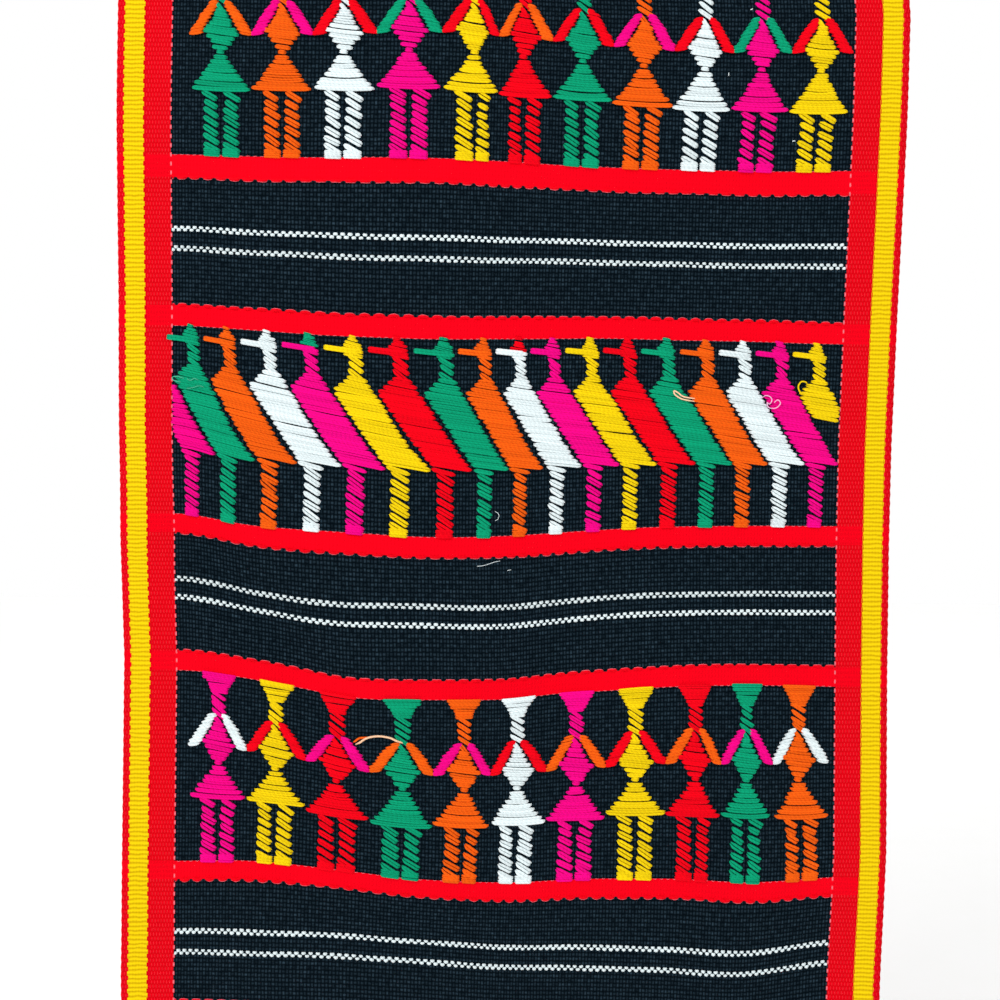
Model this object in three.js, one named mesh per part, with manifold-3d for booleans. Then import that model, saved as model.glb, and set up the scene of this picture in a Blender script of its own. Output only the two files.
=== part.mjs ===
// A hand-woven wall tapestry, hung by its top edge: one web of cloth with striped borders and hems,
// and the rows of people and birds that the weaver inlaid in it, each figure from a yarn of its own.
// Millimetres, +Z up. The face looks along -Y, and the wall would be the plane Y = 0.
// The origin is the middle of the top edge, on the back of the top hem.
import * as THREE from "three";
import { mergeVertices } from "three/addons/utils/BufferGeometryUtils.js";
import Module from "manifold-3d";

const wasm = await Module();
wasm.setup();

// Driving dimensions of the web
const FIELD_WIDTH = 241; // black ground between the two borders
const RED_BORDER = 9.8; // red warp stripe at each side of the ground
const YELLOW_STRIPE = 7; // yellow warp stripe outside the red one
const SELVEDGE = 2.2; // narrow red edge outside the yellow stripe
const LENGTH = 441; // from the top edge to the bottom edge, along the warp
const CLOTH_THICKNESS = 1.6;
const HEM_DEPTH = 15; // turned back at the top and at the bottom
const HEM_THICKNESS = 2 * CLOTH_THICKNESS;
const HEM_STEP = 1; // length of cloth over which the hem's edge comes down to one layer
const WIDTH = FIELD_WIDTH + 2 * (RED_BORDER + YELLOW_STRIPE + SELVEDGE);

// How finely the web is divided
const WEB_COLUMNS = 24;
const WEB_ROW_PITCH = 11;

// The rows of inlaid figures: distance from the top edge to a row's top, and the row's depth
const TOP_PEOPLE = { down: 28.6, depth: 71.5 };
const BIRDS = { down: 162.2, depth: 68.6 };
const LOW_PEOPLE = { down: 289.7, depth: 69 };

// Inlaid yarn
const FLOAT_HEIGHT = 1.1; // how far the middle of a figure stands off the ground cloth
const INLAY_GAP = 0.35; // clearance of a figure to the ground cloth under it
const ROW_MARGIN = 0.6; // clearance of a figure to the ends of its row
const NEIGHBOUR_GAP = 0.3; // clearance of a figure to the red border

// Where the wefts sag: the cloth's red bands don't lie level.
// Each row is a weft, with its distance down from the top edge, and how far it dips (mm) at nine
// stations spread evenly over the ground from its left side to its right side.
const WEFT_DIPS = [
  { down: 0, dips: [0, 0, 0, 0, 0, 0, 0, 0, 0] },
  { down: 28, dips: [-1.9, -1.4, -1.2, -1.2, -0.2, 1.0, 1.6, 2.0, 1.6] },
  { down: 104, dips: [-2.3, -1.6, -1.4, -1.5, -0.3, 1.2, 1.9, 2.3, 1.8] },
  { down: 131, dips: [-3.2, -1.8, -0.6, 0.0, 0.4, 0.8, 1.4, 1.7, 1.4] },
  { down: 158, dips: [-3.3, -1.8, -0.1, 0.7, 0.6, 0.2, 0.7, 1.2, 1.8] },
  { down: 234, dips: [-4.3, 0.0, 1.8, 3.4, 3.0, 0.7, -1.2, -1.7, -1.8] },
  { down: 259, dips: [-5.9, -0.2, 3.2, 3.4, 4.1, 0.7, -1.5, -1.9, -1.9] },
  { down: 285, dips: [-5.8, -2.0, 3.7, 4.2, 4.1, 1.2, -1.5, -2.3, -1.6] },
  { down: 362, dips: [-3.9, -4.2, -1.5, 1.5, 2.3, 1.1, 1.1, 2.5, 0.4] },
  { down: 388, dips: [-2.4, -2.4, -2.5, -1.2, 0.4, 0.9, 2.2, 4.1, -0.2] },
  { down: LENGTH, dips: [-2.0, -2.0, -1.9, -1.0, 0.3, 0.7, 1.6, 2.6, 0.5] },
];

// Where the two sides wander to the right (mm) on their way down
const SIDE_SWAY = [
  { down: 0, left: 0, right: 0 },
  { down: 45, left: 0.1, right: 3.5 },
  { down: 90, left: -0.1, right: 2.3 },
  { down: 150, left: 0.1, right: 0.6 },
  { down: 200, left: -0.2, right: -0.4 },
  { down: 240, left: 0, right: -0.4 },
  { down: 285, left: 1.1, right: 0.1 },
  { down: 350, left: -0.2, right: 1.4 },
  { down: 400, left: -1.4, right: 0.5 },
  { down: LENGTH, left: -1.2, right: 0 },
];

// Soft swells and creases, each a rounded hill (rise over 0) or trough (rise under 0) off the wall:
// its middle across and down, how far it reaches each way, how much it leans to the right on its
// way down, and its rise.
const PUCKERS = [
  { name: "upper swell", across: -30, down: 128, wide: 62, long: 42, lean: 0, rise: 3.2 },
  { name: "upper right swell", across: 75, down: 150, wide: 45, long: 60, lean: 0, rise: 2.0 },
  { name: "left crease", across: -96, down: 259, wide: 15, long: 36, lean: 0.9, rise: -3.0 },
  { name: "belly", across: -38, down: 268, wide: 36, long: 46, lean: 0, rise: 3.8 },
  { name: "middle crease", across: 18, down: 294, wide: 14, long: 40, lean: 0.1, rise: -2.6 },
  { name: "right swell", across: 68, down: 268, wide: 38, long: 52, lean: 0, rise: 2.8 },
  { name: "figure crease", across: -74, down: 312, wide: 15, long: 34, lean: 0, rise: -2.0 },
  { name: "low swell", across: -4, down: 385, wide: 58, long: 40, lean: 0, rise: 3.4 },
  { name: "right low trough", across: 112, down: 398, wide: 28, long: 26, lean: 0, rise: -2.8 },
  { name: "left low trough", across: -114, down: 396, wide: 30, long: 26, lean: 0, rise: -2.2 },
];
const RESTING_LIFT = 4; // how far the hanging cloth stands off the wall on the whole
const LIFT_STARTS = 20; // the top hem lies straight along the wall down to here
const LIFT_FULL = 90; // and the cloth hangs free of it from here

// Yarn colours
const YARNS = {
  black: 0x11181f,
  red: 0xf4061c,
  pink: 0xf50c8c,
  green: 0x149c76,
  orange: 0xf76a1a,
  yellow: 0xf6cf12,
  white: 0xe9f2f4,
};

// The people, from the left: the yarn of the body, the figure's middle across the web, how far below
// the chart its chest and its skirt lie, and how far to the right its feet stand
const TOP_ROW = [
  { yarn: "green", across: -103.4, chest: 0, skirt: 0.2, feet: 0.7 },
  { yarn: "orange", across: -81.6, chest: -0.7, skirt: -0.3, feet: 0.5 },
  { yarn: "white", across: -59.9, chest: -1.1, skirt: -0.7, feet: 0.2 },
  { yarn: "pink", across: -36.8, chest: -2.2, skirt: -1.8, feet: 0.5 },
  { yarn: "yellow", across: -13.7, chest: -2.2, skirt: -1.2, feet: 0.7 },
  { yarn: "red", across: 3.5, chest: -1.4, skirt: -0.2, feet: 0.6 },
  { yarn: "green", across: 24.5, chest: -0.7, skirt: 0, feet: 0.2 },
  { yarn: "orange", across: 46.1, chest: 0.4, skirt: 1.2, feet: -0.4 },
  { yarn: "white", across: 67.7, chest: 1.1, skirt: 2.1, feet: -1.3 },
  { yarn: "pink", across: 87.7, chest: 0.7, skirt: 2.1, feet: -1.4 },
  { yarn: "yellow", across: 108.7, chest: 1.1, skirt: 2.8, feet: -1.6 },
];
const LOW_ROW = [
  { yarn: "pink", across: -104.9, chest: -1.4, skirt: -1.2, feet: 0 },
  { yarn: "yellow", across: -84.3, chest: -1.1, skirt: -0.7, feet: -0.1 },
  { yarn: "red", across: -61.8, chest: 0, skirt: 1.1, feet: 0.2 },
  { yarn: "green", across: -37.4, chest: 0.7, skirt: 2.5, feet: -0.3 },
  { yarn: "orange", across: -14.8, chest: 0.4, skirt: 1.5, feet: -1 },
  { yarn: "white", across: 4.4, chest: 0, skirt: 0.8, feet: -0.7 },
  { yarn: "pink", across: 26.1, chest: 0, skirt: 0.2, feet: -0.6 },
  { yarn: "yellow", across: 47.6, chest: -0.7, skirt: -1.1, feet: 0 },
  { yarn: "red", across: 69.6, chest: -1.1, skirt: -0.5, feet: -0.5 },
  { yarn: "green", across: 88.2, chest: -0.7, skirt: -0.7, feet: 0 },
  { yarn: "orange", across: 107.2, chest: -1.1, skirt: -0.1, feet: 1.6 },
];
const HALF_PITCH = 10.65; // half the usual distance between two people

// The birds, from the left: yarn, the head's place across the web, and how far to the right it stands
const BIRD_ROW = [
  { yarn: "pink", across: -126.4, feet: -0.5 },
  { yarn: "green", across: -113.0, feet: -0.4 },
  { yarn: "orange", across: -100.2, feet: 0 },
  { yarn: "white", across: -85.5, feet: 0.6 },
  { yarn: "pink", across: -70.6, feet: 0.5 },
  { yarn: "yellow", across: -54.7, feet: 0.3 },
  { yarn: "red", across: -38.5, feet: 0.5 },
  { yarn: "green", across: -21.8, feet: 0.6 },
  { yarn: "orange", across: -7.8, feet: 0.7 },
  { yarn: "white", across: 4.8, feet: 1.7 },
  { yarn: "pink", across: 16.9, feet: 1.8 },
  { yarn: "yellow", across: 30.4, feet: 1.3 },
  { yarn: "red", across: 44.0, feet: 1.2 },
  { yarn: "green", across: 57.8, feet: 0.9 },
  { yarn: "orange", across: 72.0, feet: 0.7 },
  { yarn: "white", across: 85.2, feet: 0.7 },
  { yarn: "pink", across: 98.6, feet: 0.5 },
  { yarn: "yellow", across: 112.0, feet: 0 },
];

// A person's chart: share of the row's depth, half the width as a share of half the pitch, the form of
// the crown, and how far (as shares) the section drops with the chest, sinks with the skirt and
// follows the feet
const PERSON_CHART = [
  { down: 0.0, half: 0.56, form: "body", drops: 0, sinks: 0, follows: 0 },
  { down: 0.1, half: 0.29, form: "body", drops: 0, sinks: 0, follows: 0 },
  { down: 0.23, half: 0.22, form: "body", drops: 0.6, sinks: 0, follows: 0 },
  { down: 0.3, half: 0.38, form: "body", drops: 1, sinks: 0, follows: 0 },
  { down: 0.38, half: 0.57, form: "body", drops: 1, sinks: 0, follows: 0 },
  { down: 0.48, half: 0.15, form: "body", drops: 0.5, sinks: 0.3, follows: 0 },
  { down: 0.56, half: 0.46, form: "body", drops: 0, sinks: 0.7, follows: 0.2 },
  { down: 0.662, half: 0.95, form: "body", drops: 0, sinks: 1, follows: 0.4 },
  { down: 0.685, half: 0.6, form: "legs", drops: 0, sinks: 1, follows: 0.5 },
  { down: 0.84, half: 0.58, form: "legs", drops: 0, sinks: 0.5, follows: 0.8 },
  { down: 1.0, half: 0.58, form: "legs", drops: 0, sinks: 0, follows: 1 },
];
// An arm's chart: from the shoulder to the hand, its inner and outer side as shares of half the pitch
const ARM_CHART = [
  { down: 0.215, inner: 0.1, outer: 0.42 },
  { down: 0.265, inner: 0.31, outer: 0.62 },
  { down: 0.355, inner: 0.66, outer: 0.9 },
  { down: 0.388, inner: 0.7, outer: 0.96 },
];
// A bird's chart: share of the row's depth, its left and right sides, counted in birds from its head,
// and the share by which the section follows the feet. The body slants, so that its leg stands under
// the next bird's head.
const BIRD_CHART = [
  { down: 0.0, left: -0.14, right: 0.02, follows: 0 },
  { down: 0.044, left: -0.26, right: 0.12, follows: 0 },
  { down: 0.052, left: -0.64, right: 0.13, follows: 0 },
  { down: 0.08, left: -0.64, right: 0.15, follows: 0 },
  { down: 0.09, left: -0.16, right: 0.16, follows: 0 },
  { down: 0.2, left: -0.14, right: 0.2, follows: 0 },
  { down: 0.275, left: -0.48, right: 0.43, follows: 0.27 },
  { down: 0.35, left: -0.25, right: 0.64, follows: 0.6 },
  { down: 0.42, left: -0.04, right: 0.83, follows: 0.9 },
  { down: 0.55, left: 0.37, right: 1.22, follows: 1 },
  { down: 0.67, left: 0.77, right: 1.66, follows: 1 },
  { down: 0.685, left: 0.79, right: 1.23, follows: 1 },
  { down: 0.84, left: 0.77, right: 1.22, follows: 1 },
  { down: 1.0, left: 0.75, right: 1.2, follows: 1 },
];
const FIRST_BIRD_STARTS = 0.31; // the border hides the first bird's head
const LAST_BIRD_ENDS = 0.42; // and the last bird stops at the border

// How the inlaid yarn is crowned across a figure, as shares of FLOAT_HEIGHT from its left to its right
const CROWNS = {
  body: [0.5, 0.85, 1.0, 0.85, 0.5],
  legs: [0.5, 0.95, 0.3, 0.95, 0.5],
  bird: [0.55, 1.0, 0.55],
  arm: [0.8, 0.8],
};

// Drape: where a point of the web goes when it hangs

function smooth(from, to, value) {
  const t = THREE.MathUtils.clamp((value - from) / (to - from), 0, 1);
  return t * t * (3 - 2 * t);
}

// The two rows of a table that a distance down lies between, and its share of the way from one to the other
function between(table, down) {
  let next = table.findIndex((row) => row.down >= down);
  if (next < 0) next = table.length - 1;
  next = Math.max(next, 1);
  const [upper, lower] = [table[next - 1], table[next]];
  const share = THREE.MathUtils.clamp((down - upper.down) / (lower.down - upper.down), 0, 1);
  return { upper, lower, share };
}

// A smooth curve through evenly spaced values: it starts level and leaves the last value straight on
function curveThrough(values, place) {
  const last = values.length - 1;
  const first = THREE.MathUtils.clamp(Math.floor(place), 0, last - 1);
  const t = THREE.MathUtils.clamp(place - first, 0, 1);
  const [from, to] = [values[first], values[first + 1]];
  const slopeFrom = first > 0 ? (to - values[first - 1]) / 2 : 0;
  const slopeTo = first + 2 <= last ? (values[first + 2] - from) / 2 : to - from;
  const bend = t * t * (3 - 2 * t);
  const rise = t * (1 - t);
  return from + (to - from) * bend + rise * ((1 - t) * slopeFrom - t * slopeTo);
}

function dipAtStation(dips, across) {
  return curveThrough(dips, (across / FIELD_WIDTH + 0.5) * (dips.length - 1));
}

function dip(across, down) {
  const { upper, lower, share } = between(WEFT_DIPS, down);
  return THREE.MathUtils.lerp(
    dipAtStation(upper.dips, across),
    dipAtStation(lower.dips, across),
    share,
  );
}

function sway(across, down) {
  const { upper, lower, share } = between(SIDE_SWAY, down);
  const left = THREE.MathUtils.lerp(upper.left, lower.left, share);
  const right = THREE.MathUtils.lerp(upper.right, lower.right, share);
  return THREE.MathUtils.lerp(left, right, across / WIDTH + 0.5);
}

function lift(across, down) {
  let height = RESTING_LIFT;
  for (const pucker of PUCKERS) {
    const dv = (down - pucker.down) / pucker.long;
    const du = (across - pucker.across - pucker.lean * (down - pucker.down)) / pucker.wide;
    height += pucker.rise * Math.exp(-(du * du + dv * dv));
  }
  return height * smooth(LIFT_STARTS, LIFT_FULL, down);
}

// A point of the web's face, at its place across and down the loom
function facePoint(across, down) {
  return new THREE.Vector3(
    across + sway(across, down),
    -(HEM_THICKNESS + lift(across, down)),
    -(down + dip(across, down)),
  );
}

function thickness(down) {
  const fromEdge = Math.min(down, LENGTH - down);
  const oneLayer = THREE.MathUtils.clamp((fromEdge - HEM_DEPTH) / HEM_STEP, 0, 1);
  return THREE.MathUtils.lerp(HEM_THICKNESS, CLOTH_THICKNESS, oneLayer);
}

// Closed sheets

// A closed solid between two layers of points, rows from the top and columns from the left
function layeredSolid(front, back) {
  const rows = front.length;
  const columns = front[0].length;
  const positions = [...front.flat(), ...back.flat()].flatMap((point) => point.toArray());
  const onFront = (row, column) => row * columns + column;
  const onBack = (row, column) => rows * columns + onFront(row, column);
  const faces = [];
  for (let row = 0; row + 1 < rows; row++) {
    for (let column = 0; column + 1 < columns; column++) {
      const corners = [[row + 1, column], [row + 1, column + 1], [row, column + 1], [row, column]];
      const [a, b, c, d] = corners.map(([r, k]) => onFront(r, k));
      const [e, f, g, h] = corners.map(([r, k]) => onBack(r, k));
      faces.push(a, b, c, a, c, d, g, f, e, h, g, e);
    }
  }
  const rim = [];
  for (let column = 0; column < columns - 1; column++) rim.push([rows - 1, column]);
  for (let row = rows - 1; row > 0; row--) rim.push([row, columns - 1]);
  for (let column = columns - 1; column > 0; column--) rim.push([0, column]);
  for (let row = 0; row < rows - 1; row++) rim.push([row, 0]);
  rim.forEach((place, index) => {
    const next = rim[(index + 1) % rim.length];
    faces.push(onFront(...next), onFront(...place), onBack(...place));
    faces.push(onFront(...next), onBack(...place), onBack(...next));
  });
  const geometry = new THREE.BufferGeometry();
  geometry.setAttribute("position", new THREE.Float32BufferAttribute(positions, 3));
  geometry.setIndex(faces);
  return geometry;
}

function joined(...geometries) {
  const solids = geometries.map((geometry) => {
    const merged = mergeVertices(geometry, 1e-4);
    return new wasm.Manifold(
      new wasm.Mesh({
        numProp: 3,
        vertProperties: merged.getAttribute("position").array,
        triVerts: new Uint32Array(merged.index.array),
      }),
    );
  });
  const mesh = solids.reduce((whole, solid) => whole.add(solid)).getMesh();
  const geometry = new THREE.BufferGeometry();
  geometry.setAttribute("position", new THREE.BufferAttribute(mesh.vertProperties, 3));
  geometry.setIndex(new THREE.BufferAttribute(mesh.triVerts, 1));
  return geometry;
}

// The web

const webAcross = Array.from(
  { length: WEB_COLUMNS + 1 },
  (_, column) => (column / WEB_COLUMNS - 0.5) * WIDTH,
);

// Rows of the web from the top edge down, close together at the edges of the hems
function webRows() {
  const openFrom = HEM_DEPTH + HEM_STEP;
  const openTo = LENGTH - openFrom;
  const count = Math.round((openTo - openFrom) / WEB_ROW_PITCH);
  const rows = [0, HEM_DEPTH];
  for (let row = 0; row <= count; row++) {
    rows.push(THREE.MathUtils.lerp(openFrom, openTo, row / count));
  }
  return [...rows, LENGTH - HEM_DEPTH, LENGTH];
}
const webDown = webRows();
const webFace = webDown.map((down) => webAcross.map((across) => facePoint(across, down)));

function webGeometry() {
  const back = webFace.map((row, index) =>
    row.map((point) => point.clone().add(new THREE.Vector3(0, thickness(webDown[index]), 0))),
  );
  return layeredSolid(webFace, back);
}

// The point over the web's own flat facets, so that what is inlaid follows them at an even clearance
function pointOverWeb(across, down, height) {
  const place = (across / WIDTH + 0.5) * WEB_COLUMNS;
  const column = THREE.MathUtils.clamp(Math.floor(place), 0, WEB_COLUMNS - 1);
  const row = Math.max(webDown.findIndex((next) => next > down) - 1, 0);
  const right = place - column;
  const below = (down - webDown[row]) / (webDown[row + 1] - webDown[row]);
  const upperLeft = webFace[row][column];
  const lowerRight = webFace[row + 1][column + 1];
  const upperRight = webFace[row][column + 1];
  const lowerLeft = webFace[row + 1][column];
  // Each cell is two triangles that meet along the line from its lower left to its upper right
  const point =
    right + below < 1
      ? upperLeft
          .clone()
          .addScaledVector(upperRight.clone().sub(upperLeft), right)
          .addScaledVector(lowerLeft.clone().sub(upperLeft), below)
      : lowerRight
          .clone()
          .addScaledVector(lowerLeft.clone().sub(lowerRight), 1 - right)
          .addScaledVector(upperRight.clone().sub(lowerRight), 1 - below);
  point.y -= height;
  return point;
}

// Inlaid figures

// A figure's solid from its sections: distance down, left and right side, and the crown across it
function inlay(sections) {
  const layer = (heightOf) =>
    sections.map(({ down, left, right, crown }) =>
      crown.map((share, index) => {
        const across = THREE.MathUtils.lerp(left, right, index / (crown.length - 1));
        return pointOverWeb(across, down, INLAY_GAP + heightOf(share));
      }),
    );
  return layeredSolid(
    layer((share) => share * FLOAT_HEIGHT),
    layer(() => 0),
  );
}

function downInRow(row, share) {
  return THREE.MathUtils.lerp(row.down + ROW_MARGIN, row.down + row.depth - ROW_MARGIN, share);
}

// The room at one side of a person, up to the middle between the two, and where their hands meet
function besidePerson(person, neighbour) {
  if (!neighbour) return { reach: HALF_PITCH, hands: person.chest };
  return {
    reach: Math.abs(neighbour.across - person.across) / 2,
    hands: (neighbour.chest + person.chest) / 2,
  };
}

function personGeometry(row, person, atLeft, atRight) {
  const { across, chest, skirt, feet } = person;
  const body = PERSON_CHART.map(({ down, half, form, drops, sinks, follows }) => ({
    down: downInRow(row, down) + drops * chest + sinks * skirt,
    left: across + follows * feet - half * atLeft.reach,
    right: across + follows * feet + half * atRight.reach,
    crown: CROWNS[form],
  }));
  const arms = [-1, 1].map((side) =>
    ARM_CHART.map(({ down, inner, outer }, index) => {
      const { reach, hands } = side < 0 ? atLeft : atRight;
      const ends = [across + side * inner * reach, across + side * outer * reach];
      const toHand = index / (ARM_CHART.length - 1);
      return {
        down: downInRow(row, down) + THREE.MathUtils.lerp(chest, hands, toHand),
        left: Math.min(...ends),
        right: Math.max(...ends),
        crown: CROWNS.arm,
      };
    }),
  );
  return joined(...[body, ...arms].map(inlay));
}

// A place across the web counted in birds, so that bodies side by side never meet
function acrossInBirds(count) {
  const last = BIRD_ROW.length - 2;
  const first = THREE.MathUtils.clamp(Math.floor(count), 0, last);
  return THREE.MathUtils.lerp(
    BIRD_ROW[first].across,
    BIRD_ROW[first + 1].across,
    count - first,
  );
}

function birdGeometry(index) {
  const { feet } = BIRD_ROW[index];
  const limit = FIELD_WIDTH / 2 - NEIGHBOUR_GAP;
  const isFirst = index === 0;
  const isLast = index === BIRD_ROW.length - 1;
  const shown = BIRD_CHART.filter(
    ({ down }) => !(isFirst && down < FIRST_BIRD_STARTS) && !(isLast && down > LAST_BIRD_ENDS),
  );
  return inlay(
    shown.map(({ down, left, right, follows }) => ({
      down: downInRow(BIRDS, down),
      left: Math.max(acrossInBirds(index + left) + follows * feet, -limit),
      right: Math.min(acrossInBirds(index + right) + follows * feet, limit),
      crown: CROWNS.bird,
    })),
  );
}

// The tapestry

const tapestry = new THREE.Group();

function addPiece(name, geometry, yarn) {
  const shaded = geometry.toNonIndexed();
  shaded.computeVertexNormals();
  const material = new THREE.MeshStandardMaterial({
    color: YARNS[yarn],
    roughness: 0.92,
    metalness: 0,
  });
  const mesh = new THREE.Mesh(shaded, material);
  mesh.name = name;
  tapestry.add(mesh);
}

const numbered = (index) => String(index + 1).padStart(2, "0");

function addPeople(name, row, people) {
  people.forEach((person, index) => {
    const atLeft = besidePerson(person, people[index - 1]);
    const atRight = besidePerson(person, people[index + 1]);
    const geometry = personGeometry(row, person, atLeft, atRight);
    addPiece(`${name}_${numbered(index)}`, geometry, person.yarn);
  });
}

addPiece("web", webGeometry(), "black");
addPeople("person_top", TOP_PEOPLE, TOP_ROW);
addPeople("person_low", LOW_PEOPLE, LOW_ROW);
BIRD_ROW.forEach(({ yarn }, index) => {
  addPiece(`bird_${numbered(index)}`, birdGeometry(index), yarn);
});

export default tapestry;
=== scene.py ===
# %% [markdown]
# # A hand-woven wall tapestry
# The real thing is one length of black loom cloth with red and yellow stripes along its sides. Rows of
# people and birds are laid into it by hand, each from a yarn of its own colour.
# We dress a imported model: its solids are the frame, and every piece that we make here takes the place
# of one of them. So the frame comes first.

# %% Load the frame
import math

import bpy
import numpy as np
from mathutils import Matrix, Vector


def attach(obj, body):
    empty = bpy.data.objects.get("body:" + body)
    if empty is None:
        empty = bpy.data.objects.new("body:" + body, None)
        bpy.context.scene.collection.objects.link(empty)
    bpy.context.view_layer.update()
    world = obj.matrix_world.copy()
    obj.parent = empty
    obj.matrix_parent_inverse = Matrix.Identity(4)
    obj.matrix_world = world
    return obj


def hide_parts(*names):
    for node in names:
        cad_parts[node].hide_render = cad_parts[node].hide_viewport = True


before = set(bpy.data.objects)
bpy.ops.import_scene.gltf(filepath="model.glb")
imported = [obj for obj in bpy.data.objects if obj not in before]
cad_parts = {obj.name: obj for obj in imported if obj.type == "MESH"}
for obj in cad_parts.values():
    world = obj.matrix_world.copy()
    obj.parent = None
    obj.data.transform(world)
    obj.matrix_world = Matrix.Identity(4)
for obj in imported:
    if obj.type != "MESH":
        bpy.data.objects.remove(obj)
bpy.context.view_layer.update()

MM = 0.001  # the plan of the cloth is in millimetres, and Blender's scene is in metres

# %% [markdown]
# ## The camera
# The photograph was taken from straight in front, a little above the middle of the cloth. A camera can
# be aimed with a constraint, but a matrix made of its three axes is easier to check: right, up and back.
# Its distance and tilt were found by laying the cloth's straight lines over the photograph.

# %% Stand the camera in front
AIM = Vector((-2.0, -8.0, -220.7)) * MM
CAMERA_DISTANCE = 543 * MM
CAMERA_TILT = math.radians(3.64)
CAMERA_ROLL = math.radians(0.45)
SENSOR = 36.0
FOCAL_LENGTH = SENSOR * 1.5


def put_in_scene(name, data):
    """An object with this mesh, lamp or lens, linked to the scene so that it shows."""
    made = bpy.data.objects.new(name, data)
    bpy.context.scene.collection.objects.link(made)
    return made


def stand_camera():
    forward = Vector((0, math.cos(CAMERA_TILT), -math.sin(CAMERA_TILT)))
    level = Vector((1, 0, 0))
    upright = Vector((0, math.sin(CAMERA_TILT), math.cos(CAMERA_TILT)))
    right = level * math.cos(CAMERA_ROLL) + upright * math.sin(CAMERA_ROLL)
    up = upright * math.cos(CAMERA_ROLL) - level * math.sin(CAMERA_ROLL)
    lens = bpy.data.cameras.new("front_camera")
    lens.sensor_width = SENSOR
    lens.lens = FOCAL_LENGTH
    camera = put_in_scene("front_camera", lens)
    camera.matrix_world = Matrix(
        [
            (right[axis], up[axis], -forward[axis], AIM[axis] - CAMERA_DISTANCE * forward[axis])
            for axis in range(3)
        ]
        + [(0, 0, 0, 1)]
    )
    bpy.context.scene.camera = camera
    return camera


camera = stand_camera()
print("camera at", [round(value, 3) for value in camera.matrix_world.translation])

# %% [markdown]
# ## The loom plan
# A weaver plans a cloth flat: so far across, so far down. We do the same. Every point of the cloth has
# a place across (from the middle) and down (from the top edge) in millimetres, and is hung later.
# The warp ends run down the cloth and the weft picks run across it. The ends don't lie evenly, because the
# figures pull some of them together, so a small table says how far apart they are.

# %% Sizes of the web
FIELD_WIDTH = 241.0  # black ground between the side borders
RED_BORDER = 9.8
YELLOW_STRIPE = 7.0
SELVEDGE = 2.2
WIDTH = FIELD_WIDTH + 2 * (RED_BORDER + YELLOW_STRIPE + SELVEDGE)
LENGTH = 441.0
CLOTH_THICKNESS = 1.6
HEM_DEPTH = 15.0
HEM_STEP = 1.0
HEM_THICKNESS = 2 * CLOTH_THICKNESS
PICK = 1.63  # from one weft pick to the next
# How far apart the warp ends lie, at these places across
END_PITCH = {-121: 1.1, -75: 1.33, -30: 1.31, 0: 1.05, 30: 1.19, 121: 1.16}
# Where the red weft bands start and stop, and where the pairs of white picks lie, down from the top
RED_BANDS = [
    (19.6, 28.6), (100.1, 109.3), (153.8, 162.2), (230.8, 238.9), (281.6, 289.7), (358.7, 366.4),
    (409.5, 418.0),
]
WHITE_LINES = [127.3, 134.5, 255.9, 262.7, 384.3, 392.1]
WHITE_APART = 1.0  # from the first white pick of a line to the second


def count_ends(across):
    """How many warp ends there are up to this place, from the left edge of the web."""
    step, margin = 0.5, 1.0
    places = np.arange(-WIDTH / 2 - margin, WIDTH / 2 + margin, step)
    pitches = np.interp(places, list(END_PITCH), list(END_PITCH.values()))
    return np.interp(across, places, np.cumsum(step / pitches))


print("web", WIDTH, "x", LENGTH, "mm,", round(count_ends(WIDTH / 2)), "ends,", round(LENGTH / PICK), "picks")

# %% [markdown]
# ## How the cloth hangs
# Hung cloth is never flat: its wefts sag, its sides wander, and it swells and creases where the figures
# pull it in. A cloth simulation could make folds, but not these folds. So three short tables hold what the
# photograph shows, and one function takes any point of the plan to its place in the room.

# %% Tables of the drape
# How far a weft dips at nine stations across the ground, for wefts at these distances down
WEFT_DIPS = {
    0.0: (0, 0, 0, 0, 0, 0, 0, 0, 0),
    28.0: (-1.9, -1.4, -1.2, -1.2, -0.2, 1.0, 1.6, 2.0, 1.6),
    104.0: (-2.3, -1.6, -1.4, -1.5, -0.3, 1.2, 1.9, 2.3, 1.8),
    131.0: (-3.2, -1.8, -0.6, 0.0, 0.4, 0.8, 1.4, 1.7, 1.4),
    158.0: (-3.3, -1.8, -0.1, 0.7, 0.6, 0.2, 0.7, 1.2, 1.8),
    234.0: (-4.3, 0.0, 1.8, 3.4, 3.0, 0.7, -1.2, -1.7, -1.8),
    259.0: (-5.9, -0.2, 3.2, 3.4, 4.1, 0.7, -1.5, -1.9, -1.9),
    285.0: (-5.8, -2.0, 3.7, 4.2, 4.1, 1.2, -1.5, -2.3, -1.6),
    362.0: (-3.9, -4.2, -1.5, 1.5, 2.3, 1.1, 1.1, 2.5, 0.4),
    388.0: (-2.4, -2.4, -2.5, -1.2, 0.4, 0.9, 2.2, 4.1, -0.2),
    LENGTH: (-2.0, -2.0, -1.9, -1.0, 0.3, 0.7, 1.6, 2.6, 0.5),
}
# How far the left and the right side wander to the right, at these distances down
SIDE_SWAY = {
    0.0: (0, 0), 45.0: (0.1, 3.5), 90.0: (-0.1, 2.3), 150.0: (0.1, 0.6), 200.0: (-0.2, -0.4),
    240.0: (0, -0.4), 285.0: (1.1, 0.1), 350.0: (-0.2, 1.4), 400.0: (-1.4, 0.5), LENGTH: (-1.2, 0),
}
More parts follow.
